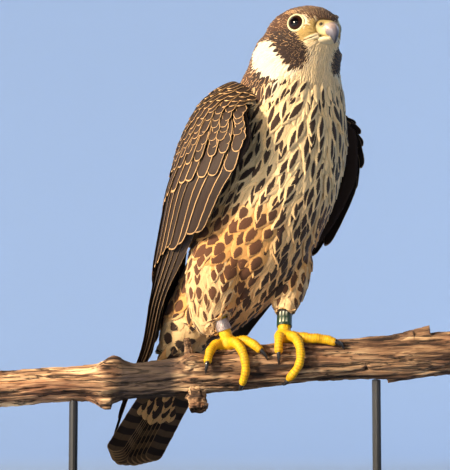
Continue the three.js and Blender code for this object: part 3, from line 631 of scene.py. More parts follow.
skin_parts = []
depths = np.zeros(len(skin.data.vertices))
for k, vert in enumerate(skin.data.vertices):
    node = part_of(vert.co)
    skin_parts.append(node)
    depths[k] = COAT_DEPTH.get(node, CORE_DEPTH) / 1000
neighbours = np.zeros((len(skin.data.edges), 2), int)
skin.data.edges.foreach_get("vertices", neighbours.ravel())
for _ in range(DEPTH_ROUNDS):
    total = depths.copy()
    count = np.ones(len(depths))
    for a, b in ((0, 1), (1, 0)):
        np.add.at(total, neighbours[:, a], depths[neighbours[:, b]])
        np.add.at(count, neighbours[:, a], 1)
    depths = total / count
outward = np.array([v.normal[:] for v in skin.data.vertices])
surface = np.array([v.co[:] for v in skin.data.vertices])
skin.data.vertices.foreach_set("co", (surface - outward * depths[:, None]).astype(np.float32).ravel())
skin.data.update()


def tree_of(piece):
    """The surface of a piece, to ask for the nearest place on it."""
    mesh = piece.data
    return BVHTree.FromPolygons([v.co for v in mesh.vertices], [p.vertices for p in mesh.polygons])


skin_tree = tree_of(skin)

# The skull's middle in the bird's frame, and how the head is turned and tipped
HEAD_AT = np.array([5, -61.5, 299.0])
HEAD_YAW = math.radians(-8)
HEAD_PITCH = math.radians(4)


def to_head(points):
    """Points of the part's frame as f forward, side to the left and h up from the skull's middle."""
    p = unbird(points) - HEAD_AT
    x = p[..., 0] * math.cos(HEAD_YAW) + p[..., 1] * math.sin(HEAD_YAW)
    y = -p[..., 0] * math.sin(HEAD_YAW) + p[..., 1] * math.cos(HEAD_YAW)
    z = p[..., 2]
    forward = -(y * math.cos(HEAD_PITCH) - z * math.sin(HEAD_PITCH))
    high = y * math.sin(HEAD_PITCH) + z * math.cos(HEAD_PITCH)
    return np.stack([forward, x, high], -1)


def from_head(f, side, h):
    """The reverse of to_head."""
    y = -f * math.cos(HEAD_PITCH) + h * math.sin(HEAD_PITCH)
    z = f * math.sin(HEAD_PITCH) + h * math.cos(HEAD_PITCH)
    x = side * math.cos(HEAD_YAW) - y * math.sin(HEAD_YAW)
    back = side * math.sin(HEAD_YAW) + y * math.cos(HEAD_YAW)
    return bird(HEAD_AT + np.array([x, back, z]))


def blurred(value, edge, soft):
    """0 well below an edge, 1 well above it, and a smooth step of that softness between."""
    step = np.clip((np.asarray(value, float) - edge) / soft + 0.5, 0, 1)
    return step * step * (3 - 2 * step)


def wander(points, scale, seed):
    """A smooth noise from -1 to 1 at each point, its scale in millimetres."""
    offset = Vector((seed * 7.1, seed * 3.3, seed * 5.7))
    return np.array([noise.noise(Vector(p * 1000 / scale) + offset) for p in points])


# How far back the trunk's middle line lies at each of these heights
TRUNK_HEIGHT = [12, 30, 50, 70, 93, 122, 153, 182, 208, 232, 254, 273, 290, 308]
TRUNK_BACK = [100, 92, 78, 58, 34, 10, -12, -28, -38, -43, -47, -50, -53, -57]


def dye(red, green, blue):
    """A feather's colour, as numpy blends it."""
    return np.array(colour(red, green, blue)[:3])


CAP = dye(84, 53, 36)
CREAM = dye(240, 208, 158)
WHITE = dye(240, 226, 200)
BUFF = dye(226, 164, 92)
DARK = dye(54, 33, 24)
RUFOUS = dye(96, 56, 31)
MALAR = dye(50, 31, 24)
FRINGE = dye(202, 150, 96)
OLIVE = dye(182, 150, 88)
GREY_BUFF = dye(186, 156, 122)


def blend(first, second, share):
    return first + (second - first) * np.asarray(share)[:, None]


def face_marks(points):
    """Pale colour, dark colour and the dark's width for the head's feathers at these places."""
    f, side, h = np.moveaxis(to_head(points), -1, 0)
    out = np.abs(side)
    f = f + 1.4 * wander(points, 6, 1)
    h = h + 1.3 * wander(points, 5, 2)
    malar_back = np.interp(h, [-37, -29, -20, -12, -4], [15.5, 13, 10.5, 6, 0])
    malar_front = np.interp(h, [-38, -29, -20, -12, -5], [16.5, 21, 24, 24, 21])
    malar = blurred(f - malar_back, 0, 2.6) * blurred(malar_front - f, 0, 2.6)
    malar *= blurred(h, -34.5, 2.5) * blurred(-h, -2, 4) * blurred(out, 10, 3)
    roof = np.interp(f, [-30, -20, -13, 4, 10, 19, 22, 25, 31], [-14, -7, -4, -5, -10, -8, 3, 5.5, 6])
    cap = blurred(h - roof, 0, 2.6)
    nape = blurred(-f, 24, 5) * blurred(h, -40, 8)
    low = np.interp(f, [-20, 0, 12], [-54, -47, -44.5])
    high = np.interp(f, [-24, -18, -8, 0, 12], [-22, -27, -33, -38, -42.5])
    collar = blurred(high - h, 0, 3) * blurred(h - low, 0, 3) * blurred(-f, -13, 4)
    throat = blurred(f - malar_front, 0, 4) * blurred(-h, 3, 5) + blurred(-h, 37, 4) * blurred(f, 8, 6)
    forehead = blurred(f, 18, 6) * blurred(h, 9, 4)
    lore = blurred(f, 21.5, 2) * blurred(-h, -5.5, 3) * blurred(h, -10.5, 2) * blurred(out, 6, 3)
    spur = blurred(f, 21.5, 2) * blurred(-f, -28.8, 2) * blurred(h, 1.0, 1.5) * blurred(-h, -9.5, 1.5)
    spur *= blurred(out, 15, 2)
    browline = blurred(h, 14.2, 1.5) * blurred(-h, -17.6, 1.5) * blurred(f, 5, 4) * blurred(out, 14, 4)
    browline *= blurred(-f, -23, 3)
    width = np.maximum.reduce([0.97 * malar, 0.9 * cap, 0.9 * nape, 0.8 * collar])
    width = width * (1 - 0.16 * forehead) * (1 - 0.75 * lore) * (1 - spur) * (1 - 0.5 * browline)
    pale = blend(np.tile(WHITE, (len(f), 1)), CREAM, np.clip(throat, 0, 1) * 0.9)
    pale = blend(pale, FRINGE, np.clip(cap + nape + collar + malar, 0, 1) * 0.85)
    pale = blend(pale, GREY_BUFF, forehead * 0.5)
    pale = blend(blend(pale, OLIVE, lore), WHITE, spur)
    dark = blend(np.tile(MALAR, (len(f), 1)), CAP, np.clip(cap + nape, 0, 1) * (1 - malar))
    return pale, dark, width


def among(parts, name):
    """Which of the parts are of that kind."""
    return np.array([part.startswith(name) for part in parts])


def regions(points, parts):
    """Each place's height, and its share of back, flank, thigh, vent and wing's pit, the pit partly painted
    shade.
    """
    x, y, z = np.moveaxis(unbird(points), -1, 0)
    behind = y - np.interp(z, TRUNK_HEIGHT, TRUNK_BACK)
    shift = 3 * wander(points, 14, 3)
    back = blurred(behind + shift, np.interp(z, [40, 90, 240, 290], [30, 26, 12, 16]), 8)
    flank = blurred(np.abs(x - 4) + shift, 21, 10) * blurred(-z, -150, 30) * blurred(z, 62, 24)
    thigh = among(parts, "thigh").astype(float)
    vent = blurred(-z, -58, 14) * blurred(y, 46, 12) * (1 - thigh)
    # The wing's pit, along the wing's front edge: dark feathers, and darker as painted shade where the wing
    # shadows the side
    pit = blurred(np.abs(x - 4) + 0.4 * shift, 48.5, 4) * blurred(z, 92, 12) * blurred(-z, -236, 8)
    pit = pit * (1 - thigh)
    return z, back, flank, thigh, vent, pit


def ground_of(points, parts):
    """Pale colour, dark colour and the dark's width of the small feathers that make the ground."""
    z, back, flank, thigh, vent, pit = regions(points, parts)
    low = blurred(-z, -150, 90)
    warm = np.clip(0.55 * low + 0.6 * flank, 0, 0.95) * (1 - 0.6 * thigh)
    pale = blend(np.tile(CREAM, (len(z), 1)), BUFF, warm)
    pale = blend(pale, CREAM, 0.6 * vent)
    # The back and the wing's pit take the dark colours; in the pit this is partly painted shade
    over = np.clip(back + pit, 0, 1)
    pale = blend(pale, FRINGE, over)
    dark = blend(np.tile(RUFOUS, (len(z), 1)), DARK, over)
    width = 0.92 * over
    top = blurred(to_head(points)[:, 2], -50, 8)
    face_pale, face_dark, face_width = face_marks(points)
    return blend(pale, face_pale, top), blend(dark, face_dark, top), width + (face_width - width) * top


def spots_of(points, parts):
    """The same for the larger feathers over them, each of which carries one dark drop or blob."""
    pale, dark, _ = ground_of(points, parts)
    z, back, flank, thigh, vent, _ = regions(points, parts)
    low = blurred(-z, -140, 70)
    width = 0.52 + 0.12 * low + 0.1 * flank
    width = width + (0.4 + 0.34 * blurred(z, 74, 30) - width) * thigh
    width = width + (0.62 - width) * vent
    shade = blend(np.tile(DARK, (len(z), 1)), RUFOUS, np.clip(flank + 0.7 * thigh, 0, 1))
    return pale, blend(dark, shade, 1 - back), np.maximum(width, 0.9 * back)


skin_at = np.array([v.co[:] for v in skin.data.vertices])
pale, dark, width = ground_of(skin_at, skin_parts)
worn = blend(pale, dark, np.clip(width * 0.9, 0, 1))
worn[among(skin_parts, "wing")] = DARK * 0.6
plumage = skin.data.attributes.new("plumage", "FLOAT_COLOR", "POINT")
plumage.data.foreach_set("color", np.c_[worn, np.ones(len(worn))].astype(np.float32).ravel())
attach(skin, "root")
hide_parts("torso", "neck", "head", "thigh_right", "thigh_left")

# Body feathers. Soft contour feathers rooted in the skin, each a thin vane with a raised shaft and
# ragged edges, overlapping towards the tail. Each pale one has a dark drop along its shaft.
random = np.random.default_rng(7)
PALE_BARS = 8.5


def feather_finish(name, barbs, roughness, soft, blunt, ended=0.972, sheen=0.15):
    """The finish of vanes. Their attribute mark holds the width of the dark, the strength of the pale bars
    over it, how far the dark is a drop, and where along the feather this drop starts."""
    material, wire, shader = new_finish(name, Roughness=roughness, Sheen_Weight=sheen, Sheen_Roughness=0.5)
    vane = wire.add("ShaderNodeUVMap", {"uv_map": "vane"})
    over = vane.add("ShaderNodeSeparateXYZ", {}, {0: vane})
    ahead = over.output(1)
    mark = wire.attribute("mark")
    start = mark.output(3)
    width = wire.add("ShaderNodeSeparateXYZ", {}, {0: mark})
    bars, dropped = width.output(1), width.output(2)
    aside = abs(2 * over - 1)
    near_tip = ((ahead - blunt) / (ended - blunt)).held()
    round_tip = (1 - near_tip * near_tip).held() ** 0.5
    run = ((ahead - start) / (0.9 - start)).held()
    egg = (run**1.3 * (1 - run)) ** 0.5 * 2.2
    barb_line = ahead - aside * 0.22
    frayed = wire.add("ShaderNodeCombineXYZ", {}, {0: barb_line * 40, 1: over * 3, 2: width * 90}).noise()
    reach = width * (round_tip + dropped * (egg - round_tip)) + dropped * (frayed - 0.5) * 0.5
    drop = ((reach - aside) * soft + 0.5).held() * ((ahead - start) * 20).held()
    wave = (ahead + aside * 0.01) * (math.tau * PALE_BARS)
    bar = ((wave.sum("SINE", wave) - 0.1) * 3 + 0.5).held()
    shown = drop * (1 - bar * bars)
    shaft = ((0.07 - aside) * 30).held() * 0.12
    barb = {0: barb_line * barbs, 1: aside * 1.5, 2: width * 9}
    barb = wire.add("ShaderNodeCombineXYZ", {}, barb).noise()
    worn = shown.tinted(wire.attribute("pale"), wire.attribute("dark"))
    fed(worn.scaled((barb - 0.5) * 0.5 + 1.0 - shaft), shader, "Base Color")
    fed(wire, shader, "Normal", bump=barb, strength=0.35, distance=0.0005)
    return material


vertex_normals = np.array([v.normal[:] for v in skin.data.vertices])
face_normals = unit(np.array([vertex_normals[list(p.vertices)].sum(0) for p in skin.data.polygons]))


def flattened(points, parts):
    """Where these places lie on the skin laid flat: round the body's axis and along it."""
    x, y, z = np.moveaxis(unbird(points), -1, 0)
    behind = y - np.interp(z, TRUNK_HEIGHT, TRUNK_BACK)
    around = np.arctan2(x - 5, -behind) / math.tau + 0.5
    turned = np.arctan2(np.abs(x) - 28, -(y - np.where(x < 0, 24, -6))) / math.tau + 0.5
    around = np.where(among(parts, "thigh"), 0.25 + 0.48 * turned * np.sign(x), around)
    upward = (z - z.min()) / max(np.ptp(z), 1)
    crown = np.clip((z - 290) / 36, 0, 1)
    around = 0.5 + (around - 0.5) * (1 - 0.3 * crown)
    return np.stack([0.01 + 0.98 * np.clip(around, 0, 1), 0.01 + 0.98 * upward], -1)


def nearest_skin(points):
    """The skin's place under each point and its normal, smoothed over the face's corners."""
    places, normals = np.zeros_like(points), np.zeros_like(points)
    for k, point in enumerate(points):
        place, _, face, _ = skin_tree.find_nearest(point)
        places[k], normals[k] = place, face_normals[face]
    return places, normals


def vanes(name, line, half, arch, unwrap, colours, material, run=None, corners=5):
    """One mesh of closed thin vanes. line holds their middles, ways across and ways out, each
    (feathers, rows, 3), half their widths to both sides (feathers, rows, 2), arch the height of the
    shaft and the droop of the edges, unwrap each root's place on the skin laid flat, colours the pale
    and dark colours and the mark, and run how far along the feather each row is."""
    middle, across, out = line
    count, rows = middle.shape[:2]
    run = np.linspace(0, 1, rows) if run is None else run
    places = np.linspace(-1, 1, corners)
    wide = np.where(places[None, None, :] < 0, half[:, :, :1], half[:, :, 1:])
    flat = middle[:, :, None] + across[:, :, None] * (wide * places)[..., None]
    high = arch[0][:, None, None] * (1 - np.abs(places)) - arch[1][:, None, None] * places**2
    points = flat + out[:, :, None] * high[..., None]
    index = np.arange(count * rows * corners).reshape(count, rows, corners)
    top = np.stack([index[:, :-1, :-1], index[:, :-1, 1:], index[:, 1:, 1:], index[:, 1:, :-1]], -1)
    under = np.stack([index[:, :-1, -1], index[:, :-1, 0], index[:, 1:, 0], index[:, 1:, -1]], -1)
    quads = np.concatenate([top.reshape(-1, 4), under.reshape(-1, 4)])
    ends = np.concatenate([index[:, 0, ::-1], index[:, -1]])
    corner_list = np.concatenate([quads.ravel(), ends.ravel()]).astype(np.int32)
    sizes = np.concatenate([np.full(len(quads), 4), np.full(len(ends), corners)])
    mesh = bpy.data.meshes.new(name)
    mesh.vertices.add(points.size // 3)
    mesh.vertices.foreach_set("co", points.astype(np.float32).ravel())
    mesh.loops.add(len(corner_list))
    mesh.loops.foreach_set("vertex_index", corner_list)
    mesh.polygons.add(len(sizes))
    starts = np.concatenate([[0], np.cumsum(sizes)[:-1]]).astype(np.int32)
    mesh.polygons.foreach_set("loop_start", starts)
    mesh.update(calc_edges=True)
    mesh.validate()
    shown = np.zeros((count, rows, corners, 2))
    shown[..., 0] = (places + 1) / 2
    shown[..., 1] = run[:, None]
    shown = shown.reshape(-1, 2)
    patch = np.repeat(unwrap, rows * corners, axis=0) + 0.003 * (shown - 0.5)
    loops = np.zeros(len(mesh.loops), np.int32)
    mesh.loops.foreach_get("vertex_index", loops)
    for layer, places_uv in (("OFBake", patch), ("vane", shown)):
        made = mesh.uv_layers.new(name=layer)
        made.data.foreach_set("uv", places_uv[loops].astype(np.float32).ravel())
    for layer, values in zip(("pale", "dark", "mark"), colours):
        if values.shape[1] == 3:
            values = np.c_[values, np.ones(len(values))]
        held = mesh.attributes.new(layer, "FLOAT_COLOR", "POINT")
        held.data.foreach_set("color", np.repeat(values, rows * corners, axis=0).astype(np.float32).ravel())
    mesh.set_sharp_from_angle(angle=math.radians(70))
    piece = new_object(name, mesh, material)
    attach(piece, "root")
    return piece


def sown(keep, spacing, seed):
    """Root places on the skin, spread evenly with that spacing, on faces that keep says yes to."""
    chance = np.random.default_rng(seed)
    polygons = skin.data.polygons
    area = np.zeros(len(polygons))
    polygons.foreach_get("area", area)
    area = area * keep
    tries = int(area.sum() / spacing**2 * 7)
    picks = chance.choice(len(area), tries, p=area / area.sum())
    places, faces, cells = [], [], {}
    verts = skin.data.vertices
    for face in picks:
        corners = polygons[face].vertices
        a, b = chance.random(2)
        one, two, three = (np.array(verts[corners[k]].co) for k in (0, 1, 2))
        if len(corners) == 4:
            four = np.array(verts[corners[3]].co)
            point = (one * (1 - a) + two * a) * (1 - b) + (four * (1 - a) + three * a) * b
        else:
            a, b = (a, b) if a + b < 1 else (1 - a, 1 - b)
            point = one + (two - one) * a + (three - one) * b
        cell = tuple(np.floor(point / spacing).astype(int))
        near = (
            cells.get((cell[0] + i, cell[1] + j, cell[2] + k))
            for i in (-1, 0, 1)
            for j in (-1, 0, 1)
            for k in (-1, 0, 1)
        )
        if any(other is not None and ((other - point) ** 2).sum() < spacing**2 for other in near):
            continue
        cells[cell] = point
        places.append(point)
        faces.append(face)
    return np.array(places), np.array(faces)


face_parts = np.array([skin_parts[p.vertices[0]] for p in skin.data.polygons])
face_at = np.array([p.center[:] for p in skin.data.polygons])


def lie(points, parts):
    """The way that feathers lie at each place, not yet laid along the skin."""
    head = to_head(points)
    b = unbird(points)
    line = [np.interp(b[:, 2] + rise, TRUNK_HEIGHT, TRUNK_BACK) for rise in (-6, 6)]
    down = np.stack([np.zeros(len(b)), (line[0] - line[1]) / 12, -np.ones(len(b))], -1)
    inward = 0.2 * blurred(-b[:, 0], 6, 30) * blurred(b[:, 2], 150, 50)
    down[:, 0] = np.clip((b[:, 0] - 5) / 300, -0.25, 0.25) - inward
    thigh = among(parts, "thigh")
    down[thigh, 1] = 0.05 + 0.25 * (b[thigh, 1] > 25)
    origin = bird(np.zeros((len(b), 3)))
    down = unit(bird(unit(down)) - origin)
    radial = head - np.array([38, 0, -7])
    radial[:, 2] -= 14 * blurred(-head[:, 0], 5, 30)
    fanned = np.array([from_head(*r) for r in unit(radial)]) - from_head(0, 0, 0)
    share = blurred(head[:, 2], -32, 26)
    return unit(down * (1 - share)[:, None] + unit(fanned) * share[:, None])


def laid(points, parts, length, rows, depth, spread, root, swell):
    """Feathers' middle lines along the skin from their roots, with their ways across and out."""
    count = len(points)
    places, normals = nearest_skin(points)
    ahead = lie(points, parts)
    turn = np.radians(random.normal(0, spread, count))
    middle, across, out = (np.zeros((count, rows, 3)) for _ in range(3))
    here = places.copy()
    step = (length / (rows - 1))[:, None]
    for k in range(rows):
        ahead = unit(ahead - normals * (ahead * normals).sum(-1, keepdims=True))
        if k == 0:
            side = np.cross(normals, ahead)
            ahead = unit(ahead * np.cos(turn)[:, None] + side * np.sin(turn)[:, None])
        high = (root + (depth - root) * (k / (rows - 1)) ** swell)[:, None]
        middle[:, k] = here + normals * high
        across[:, k] = np.cross(normals, ahead)
        out[:, k] = normals
        here = here + ahead * step
        if k + 1 < rows:
            here, normals = nearest_skin(here)
    return middle, across, out


VANE_OUTLINE = [[0.35], [0.7], [0.92], [1.0], [0.98], [0.85], [0.58], [0.12]]
DARK_THROUGHOUT = 0.8


def ragged(count, rows, half, rough):
    """Widths to both sides at each row, in and out by turns as the barbs' ends are."""
    outline = along(VANE_OUTLINE, np.linspace(0, 1, rows))[:, 0]
    chance = random.uniform(1 - rough, 1 + rough * 0.4, (count, rows, 2))
    return half[:, None, None] * outline[None, :, None] * chance


def coat(
    name, keep, sizes, seed, slot="body_feathers", rows=9, begin=None, spread=7, rough=0.22, ridge=0.0003
):
    """Feathers sown over part of the skin. sizes are their spacing, length, half width and height. With
    begin, they carry spots that begin so far along them."""
    spotted = begin is not None
    spacing, length, half, depth = sizes
    points, faces = sown(keep, spacing, seed)
    parts = face_parts[faces]
    count = len(points)
    size = random.normal(1, 0.1, count).clip(0.75, 1.3)
    high = depth * random.uniform(0.8, 1.05, count)
    root, swell = (0.0012, 0.4) if spotted else (0.0002, 0.6)
    line = laid(points, parts, length * size, rows, high, spread, root, swell)
    widths = ragged(count, rows, half * size, rough)
    pale, dark, width = (spots_of if spotted else ground_of)(points, parts)
    shade = random.normal(1, 0.06, count)[:, None]
    dropped, start = np.zeros(count), np.zeros(count)
    if spotted:
        whole = width > DARK_THROUGHOUT
        dropped = np.where(whole, 0.0, 1.0)
        start = np.where(whole, 0.0, begin + random.normal(0, 0.05, count))
    mark = np.stack([width * random.uniform(0.7, 1.25, count), np.zeros(count), dropped, start], -1)
    arch = (np.full(count, ridge), half * 0.18 * size)
    colours = (pale * shade, dark * shade, mark)
    return vanes(name, line, widths, arch, flattened(points, parts), colours, soft_finish)


soft_finish = feather_finish("soft_feathers", barbs=46, roughness=0.85, soft=7.0, blunt=0.72)
face_f, face_side, face_h = np.moveaxis(to_head(face_at), -1, 0)
head_part = (face_parts == "head") | (face_h > -46)
thigh_part = among(face_parts, "thigh")
wing_part = among(face_parts, "wing")
trunk_part = ~head_part & ~thigh_part & ~wing_part
face_high, face_back, face_flank, _, face_vent, face_pit = regions(face_at, face_parts)
front = (face_back < 0.5) & (face_vent < 0.5) & (face_pit < 0.5)
# Each call gives spacing, length, half width and height, then the seed of the sowing
coat("coat_neck", trunk_part & (face_high > 200), (0.0046, 0.018, 0.0044, 0.0032), 1)
coat("coat_breast", trunk_part & (face_high <= 200) & (face_high > 110), (0.0052, 0.021, 0.005, 0.0036), 2)
coat("coat_belly", trunk_part & (face_high <= 110), (0.0052, 0.023, 0.0052, 0.0038), 3)
coat("coat_thighs", thigh_part, (0.0043, 0.020, 0.004, 0.0034), 4)
breast = trunk_part & front & (face_high > 150) & (face_high <= 238)
streaked = {"begin": 0.12, "spread": 11}
throat = trunk_part & front & (face_high > 238) & (face_high < 274)
coat("streaks_throat", throat, (0.0064, 0.016, 0.0034, 0.0028), 20, **streaked)
coat("spots_breast", breast & (face_flank < 0.5), (0.0080, 0.023, 0.0048, 0.0046), 21, **streaked)
belly = trunk_part & front & (face_high <= 150) & (face_flank < 0.5)
coat("spots_belly", belly, (0.0080, 0.024, 0.0052, 0.0048), 22, **streaked)
flank = trunk_part & front & (face_flank >= 0.5)
coat("spots_flank", flank, (0.0098, 0.025, 0.0076, 0.0052), 23, begin=0.3, rough=0.12)
high_thigh = thigh_part & (face_high > 78)
coat("spots_thighs", high_thigh, (0.0090, 0.021, 0.0054, 0.0046), 24, begin=0.32, rough=0.14)
low_thigh = thigh_part & (face_high <= 78)
coat("streaks_thighs", low_thigh, (0.0088, 0.022, 0.0042, 0.0042), 25, begin=0.3)
vent = trunk_part & (face_back < 0.5) & (face_vent >= 0.5)
coat("bars_vent", vent, (0.0108, 0.027, 0.0088, 0.0048), 26, begin=0.5, rough=0.14)

# Head feathers. Very short, dense and close, rooted in the skin like the body's, and smallest on the
# face. The eyes with their lids and the cere stay free of them.
short = {"slot": "head_feathers", "rough": 0.12, "spread": 6}
# An eye's middle on the head, forward, to the side and up, and how far to the side its surface is
EYE_AT = (14.8, 19.0, 5.4)
EYE_SURFACE = 21
across_eye = (face_f - EYE_AT[0]) ** 2 + (face_h - EYE_AT[2]) ** 2
from_eye = np.sqrt(across_eye + (np.abs(face_side) - EYE_SURFACE) ** 2)
cere_reach = np.hypot(face_side / 10.2, (face_h + 1.4) / 7.6)
bare = (from_eye < 7.0) | ((face_f > 30.5) & (cere_reach < 1) & (face_h > -10))
front_face = head_part & ~bare & ((face_f > 15) | (from_eye < 15))
rear_head = head_part & ~bare & ~front_face
coat("coat_face", front_face, (0.00145, 0.0050, 0.0011, 0.0010), 5, rows=6, ridge=0.00012, **short)
coat("coat_head", rear_head, (0.0024, 0.0092, 0.0022, 0.0016), 6, rows=7, ridge=0.0002, **short)

# Wing feathers. Firm vanes rooted along the folded wing lie in tiers like roof tiles: lesser, median and
# greater coverts from the shoulder down, then secondaries, and the long primaries that make the tip.
# Three broad inner ones end the right wing's back edge, dark as painted shade in the gap to the flank.
firm = {"barbs": 110, "roughness": 0.7, "sheen": 0.0}
vane_finish = feather_finish("firm_feathers", soft=16.0, blunt=0.9, ended=0.975, **firm)
flight_finish = feather_finish("flight_feathers", soft=22.0, blunt=0.955, ended=0.988, **firm)


def tip_run(rows):
    """How far along a feather its rows are, closer towards the tip."""
    return 1 - (1 - np.linspace(0, 1, rows)) ** 1.7


def rounded(run, round_from):
    """A firm feather's width at each row: narrow at its root, even, then round at its tip."""
    swell = 0.5 + 0.5 * blurred(run, 0.18, 0.36)
    t = np.clip((run - round_from) / (1 - round_from), 0, 1)
    return swell * np.maximum(np.sqrt(1 - t * t), 0.08)


def wing_tier(rows, tier, run, seed):
    """One tier of a folded wing: middle lines, ways across and out, and widths of its feathers."""
    chance = np.random.default_rng(seed)
    count, root, tip, half, rise, step, tilt = tier
    f = np.linspace(0, 1, count)
    root, tip = np.array(root), np.array(tip)
    roots = root[0] + (root[1] - root[0]) * f[:, None]
    tips = tip[0] + (tip[1] - tip[0]) * f[:, None]
    tips[:, 0] += chance.normal(0, 0.005, count)
    tips[:, 1] += chance.normal(0, 0.2 / count, count)
    path = roots[:, None] + (tips - roots)[:, None] * run[None, :, None]
    path[..., 0] = np.clip(path[..., 0], 0.0, 1.0)
    normal = wing_normal(rows, path[..., 0], path[..., 1])
    lift = rise[0] + (rise[1] + step * np.arange(count)[:, None] - rise[0]) * run[None] ** 0.6
    middle = wing_point(rows, path[..., 0], path[..., 1]) + normal * lift[..., None]
    ahead = unit(np.gradient(middle, run, axis=1))
    out = unit(normal - ahead * (normal * ahead).sum(-1, keepdims=True))
    side = np.cross(ahead, out)
    lean = (1 if rows is RIGHT_WING else -1) * math.radians(tilt)
    out = out * math.cos(lean) + side * math.sin(lean)
    return (middle, np.cross(out, ahead), out), half[0] + (half[1] - half[0]) * f


def in_part_frame(line):
    """Middles, ways across and ways out of the bird's frame, in the part's own frame."""
    origin = bird(np.zeros(3))
    middle, across, out = line
    return bird(middle), unit(bird(across) - origin), unit(bird(out) - origin)


# Each tier's feather count, roots and tips as s, t of its first and last feather, half widths, rise
# of root and tip, what each next tip adds to that, and tilt
WING_TIERS = {
    "inner": (3, [[0.3, 0.7], [0.3, 0.88]], [[0.76, 0.95], [0.7, 1.08]], [9, 9], [-9, -7.5], 0.2, 8),
    "primaries": (10, [[0.42, 0.06], [0.36, 0.72]], [[1, 0.3], [0.7, 1.02]], [6.5, 9.5], [-8, -4], 0.5, 10),
    "secondaries": (
        14, [[0.28, 0.06], [0.3, 0.86]], [[0.53, 0.05], [0.66, 0.88]], [7.6, 8], [-5.5, -1.2], 0.05, 11
    ),
    "greater": (
        14, [[0.2, 0.08], [0.24, 0.93]], [[0.38, 0.05], [0.53, 0.94]], [6.2, 7.2], [-4.5, -0.6], 0.0, 11
    ),
    "median": (
        14, [[0.14, 0.06], [0.18, 0.94]], [[0.295, 0.04], [0.42, 0.95]], [5.8, 6.6], [-4.0, -0.1], 0.0, 11
    ),
}
# The rows along a feather of each tier, where its tip begins to round, and the width of its dark
TIER_VANES = {
    "inner": (26, 0.93, 0.95),
    "primaries": (30, 0.95, 0.955),
    "secondaries": (26, 0.9, 0.92),
    "greater": (20, 0.86, 0.91),
    "median": (16, 0.8, 0.9),
    "lesser": (12, 0.7, 0.88),
}
# The long feathers' share of the coverts' lightness; the inner ones' low share is painted shade
TIER_SHADE = {"inner": 0.7, "primaries": 0.72, "secondaries": 0.9}
LESSER_ROWS = 10
# The left wing's colours are a cooler, greyer copy of the right wing's: painted shade for its shaded side
WING_DARK = {"right": dye(52, 34, 25), "left": dye(48, 36, 30)}
WING_EDGE = {"right": dye(212, 168, 118), "left": dye(190, 164, 138)}
for side, rows in (("right", RIGHT_WING), ("left", LEFT_WING)):
    tiers = {name: tier for name, tier in WING_TIERS.items() if name != "inner" or side == "right"}
    # The lesser coverts' rows climb to the shoulder, each second one shifted
    for k in range(LESSER_ROWS):
        tip = 0.27 - 0.025 * k
        shift = 0.03 * (k % 2)
        tips = [[tip - 0.01, 0.03 + shift], [tip + 0.09 - 0.005 * k, 0.95 - shift]]
        roots = [[tip - 0.065, 0.07], [tip - 0.02, 0.93]]
        tiers[f"lesser_{k}"] = (13 + k % 2, roots, tips, [4.9, 5.4], [-3.4, 0.2 + 0.06 * k], 0.0, 9)
    gathered = {}
    for k, (tier, sizes) in enumerate(tiers.items()):
        family = tier.split("_")[0]
        lengths, round_from, fringe = TIER_VANES[family]
        count = sizes[0]
        run = tip_run(lengths)
        line, wide = wing_tier(rows, sizes, run, 40 + k)
        widths = wide[:, None, None] / 1000 * rounded(run, round_from)[None, :, None]
        widths = widths * random.uniform(0.97, 1.02, (count, lengths, 2))
        shade = random.normal(1, 0.06, count)[:, None]
        far = TIER_SHADE.get(tier, 1.0)
        mark = np.tile([fringe, 0.0, 0.0, 0.0], (count, 1))
        mark[:, 0] *= random.uniform(0.965, 1.03, count)
        unwrap = np.stack([np.linspace(0.02, 0.98, count), np.full(count, 0.04 + 0.07 * k)], -1)
        arch = (np.full(count, 0.0005), wide * 0.00008)
        worn = (WING_EDGE[side] * far * shade, WING_DARK[side] * far * shade, mark)
        feathers = (*in_part_frame(line), widths, *arch, unwrap, *worn)
        gathered.setdefault(family, (run, []))[1].append(feathers)
    for family, (run, groups) in gathered.items():
        whole = [np.concatenate(part) for part in zip(*groups)]
        line, widths, arch, unwrap, worn = whole[:3], whole[3], whole[4:6], whole[6], whole[7:]
        firm_finish = flight_finish if family in TIER_SHADE else vane_finish
        vanes(f"wing_{side}_{family}", line, widths, arch, unwrap, worn, firm_finish, run)
    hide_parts("wing_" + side)

# Tail. Twelve long feathers, the middle pair on top, with shorter coverts over their roots above and
# below. Seen from below they are dark with pale bars, and each ends in a pale edge.
def tail_feathers(run, entries):
    """Middle lines of tail feathers given as from, to, over, rise at root and tip, and half width."""
    middle = []
    for start, end, over, low, high, _ in entries:
        ahead = start + (end - start) * run
        middle.append(tail_point(ahead, over * (0.7 + 0.3 * run), low + (high - low) * run))
    middle = np.array(middle)
    across = np.broadcast_to(tail_across, middle.shape)
    out = np.broadcast_to(tail_out, middle.shape)
    return in_part_frame((middle, across, out)), np.array([entry[5] for entry in entries]) / 1000


def tail_coat(name, entries, rows, worn, round_from, material, under=False):
    """One mesh of tail feathers, worn as pale colour, dark colour and mark, upside down with under."""
    run = tip_run(rows)
    (middle, across, out), half = tail_feathers(run, entries)
    if under:
        across, out = -across, -out
    count = len(entries)
    rough = random.uniform(0.97, 1.02, (count, rows, 2))
    widths = half[:, None, None] * rounded(run, round_from)[None, :, None] * rough
    unwrap = np.stack([np.linspace(0.02, 0.98, count), 0.1 + 0.8 * np.array([e[1] for e in entries])], -1)
    shade = random.normal(1, 0.05, count)[:, None]
    pale, dark, mark = (np.tile(part, (count, 1)) for part in worn)
    arch = (np.full(count, 0.0005), np.full(count, 0.0008))
    colours = (pale * shade, dark * shade, mark)
    line = (middle, across, out)
    return vanes(name, line, widths, arch, unwrap, colours, material, run)


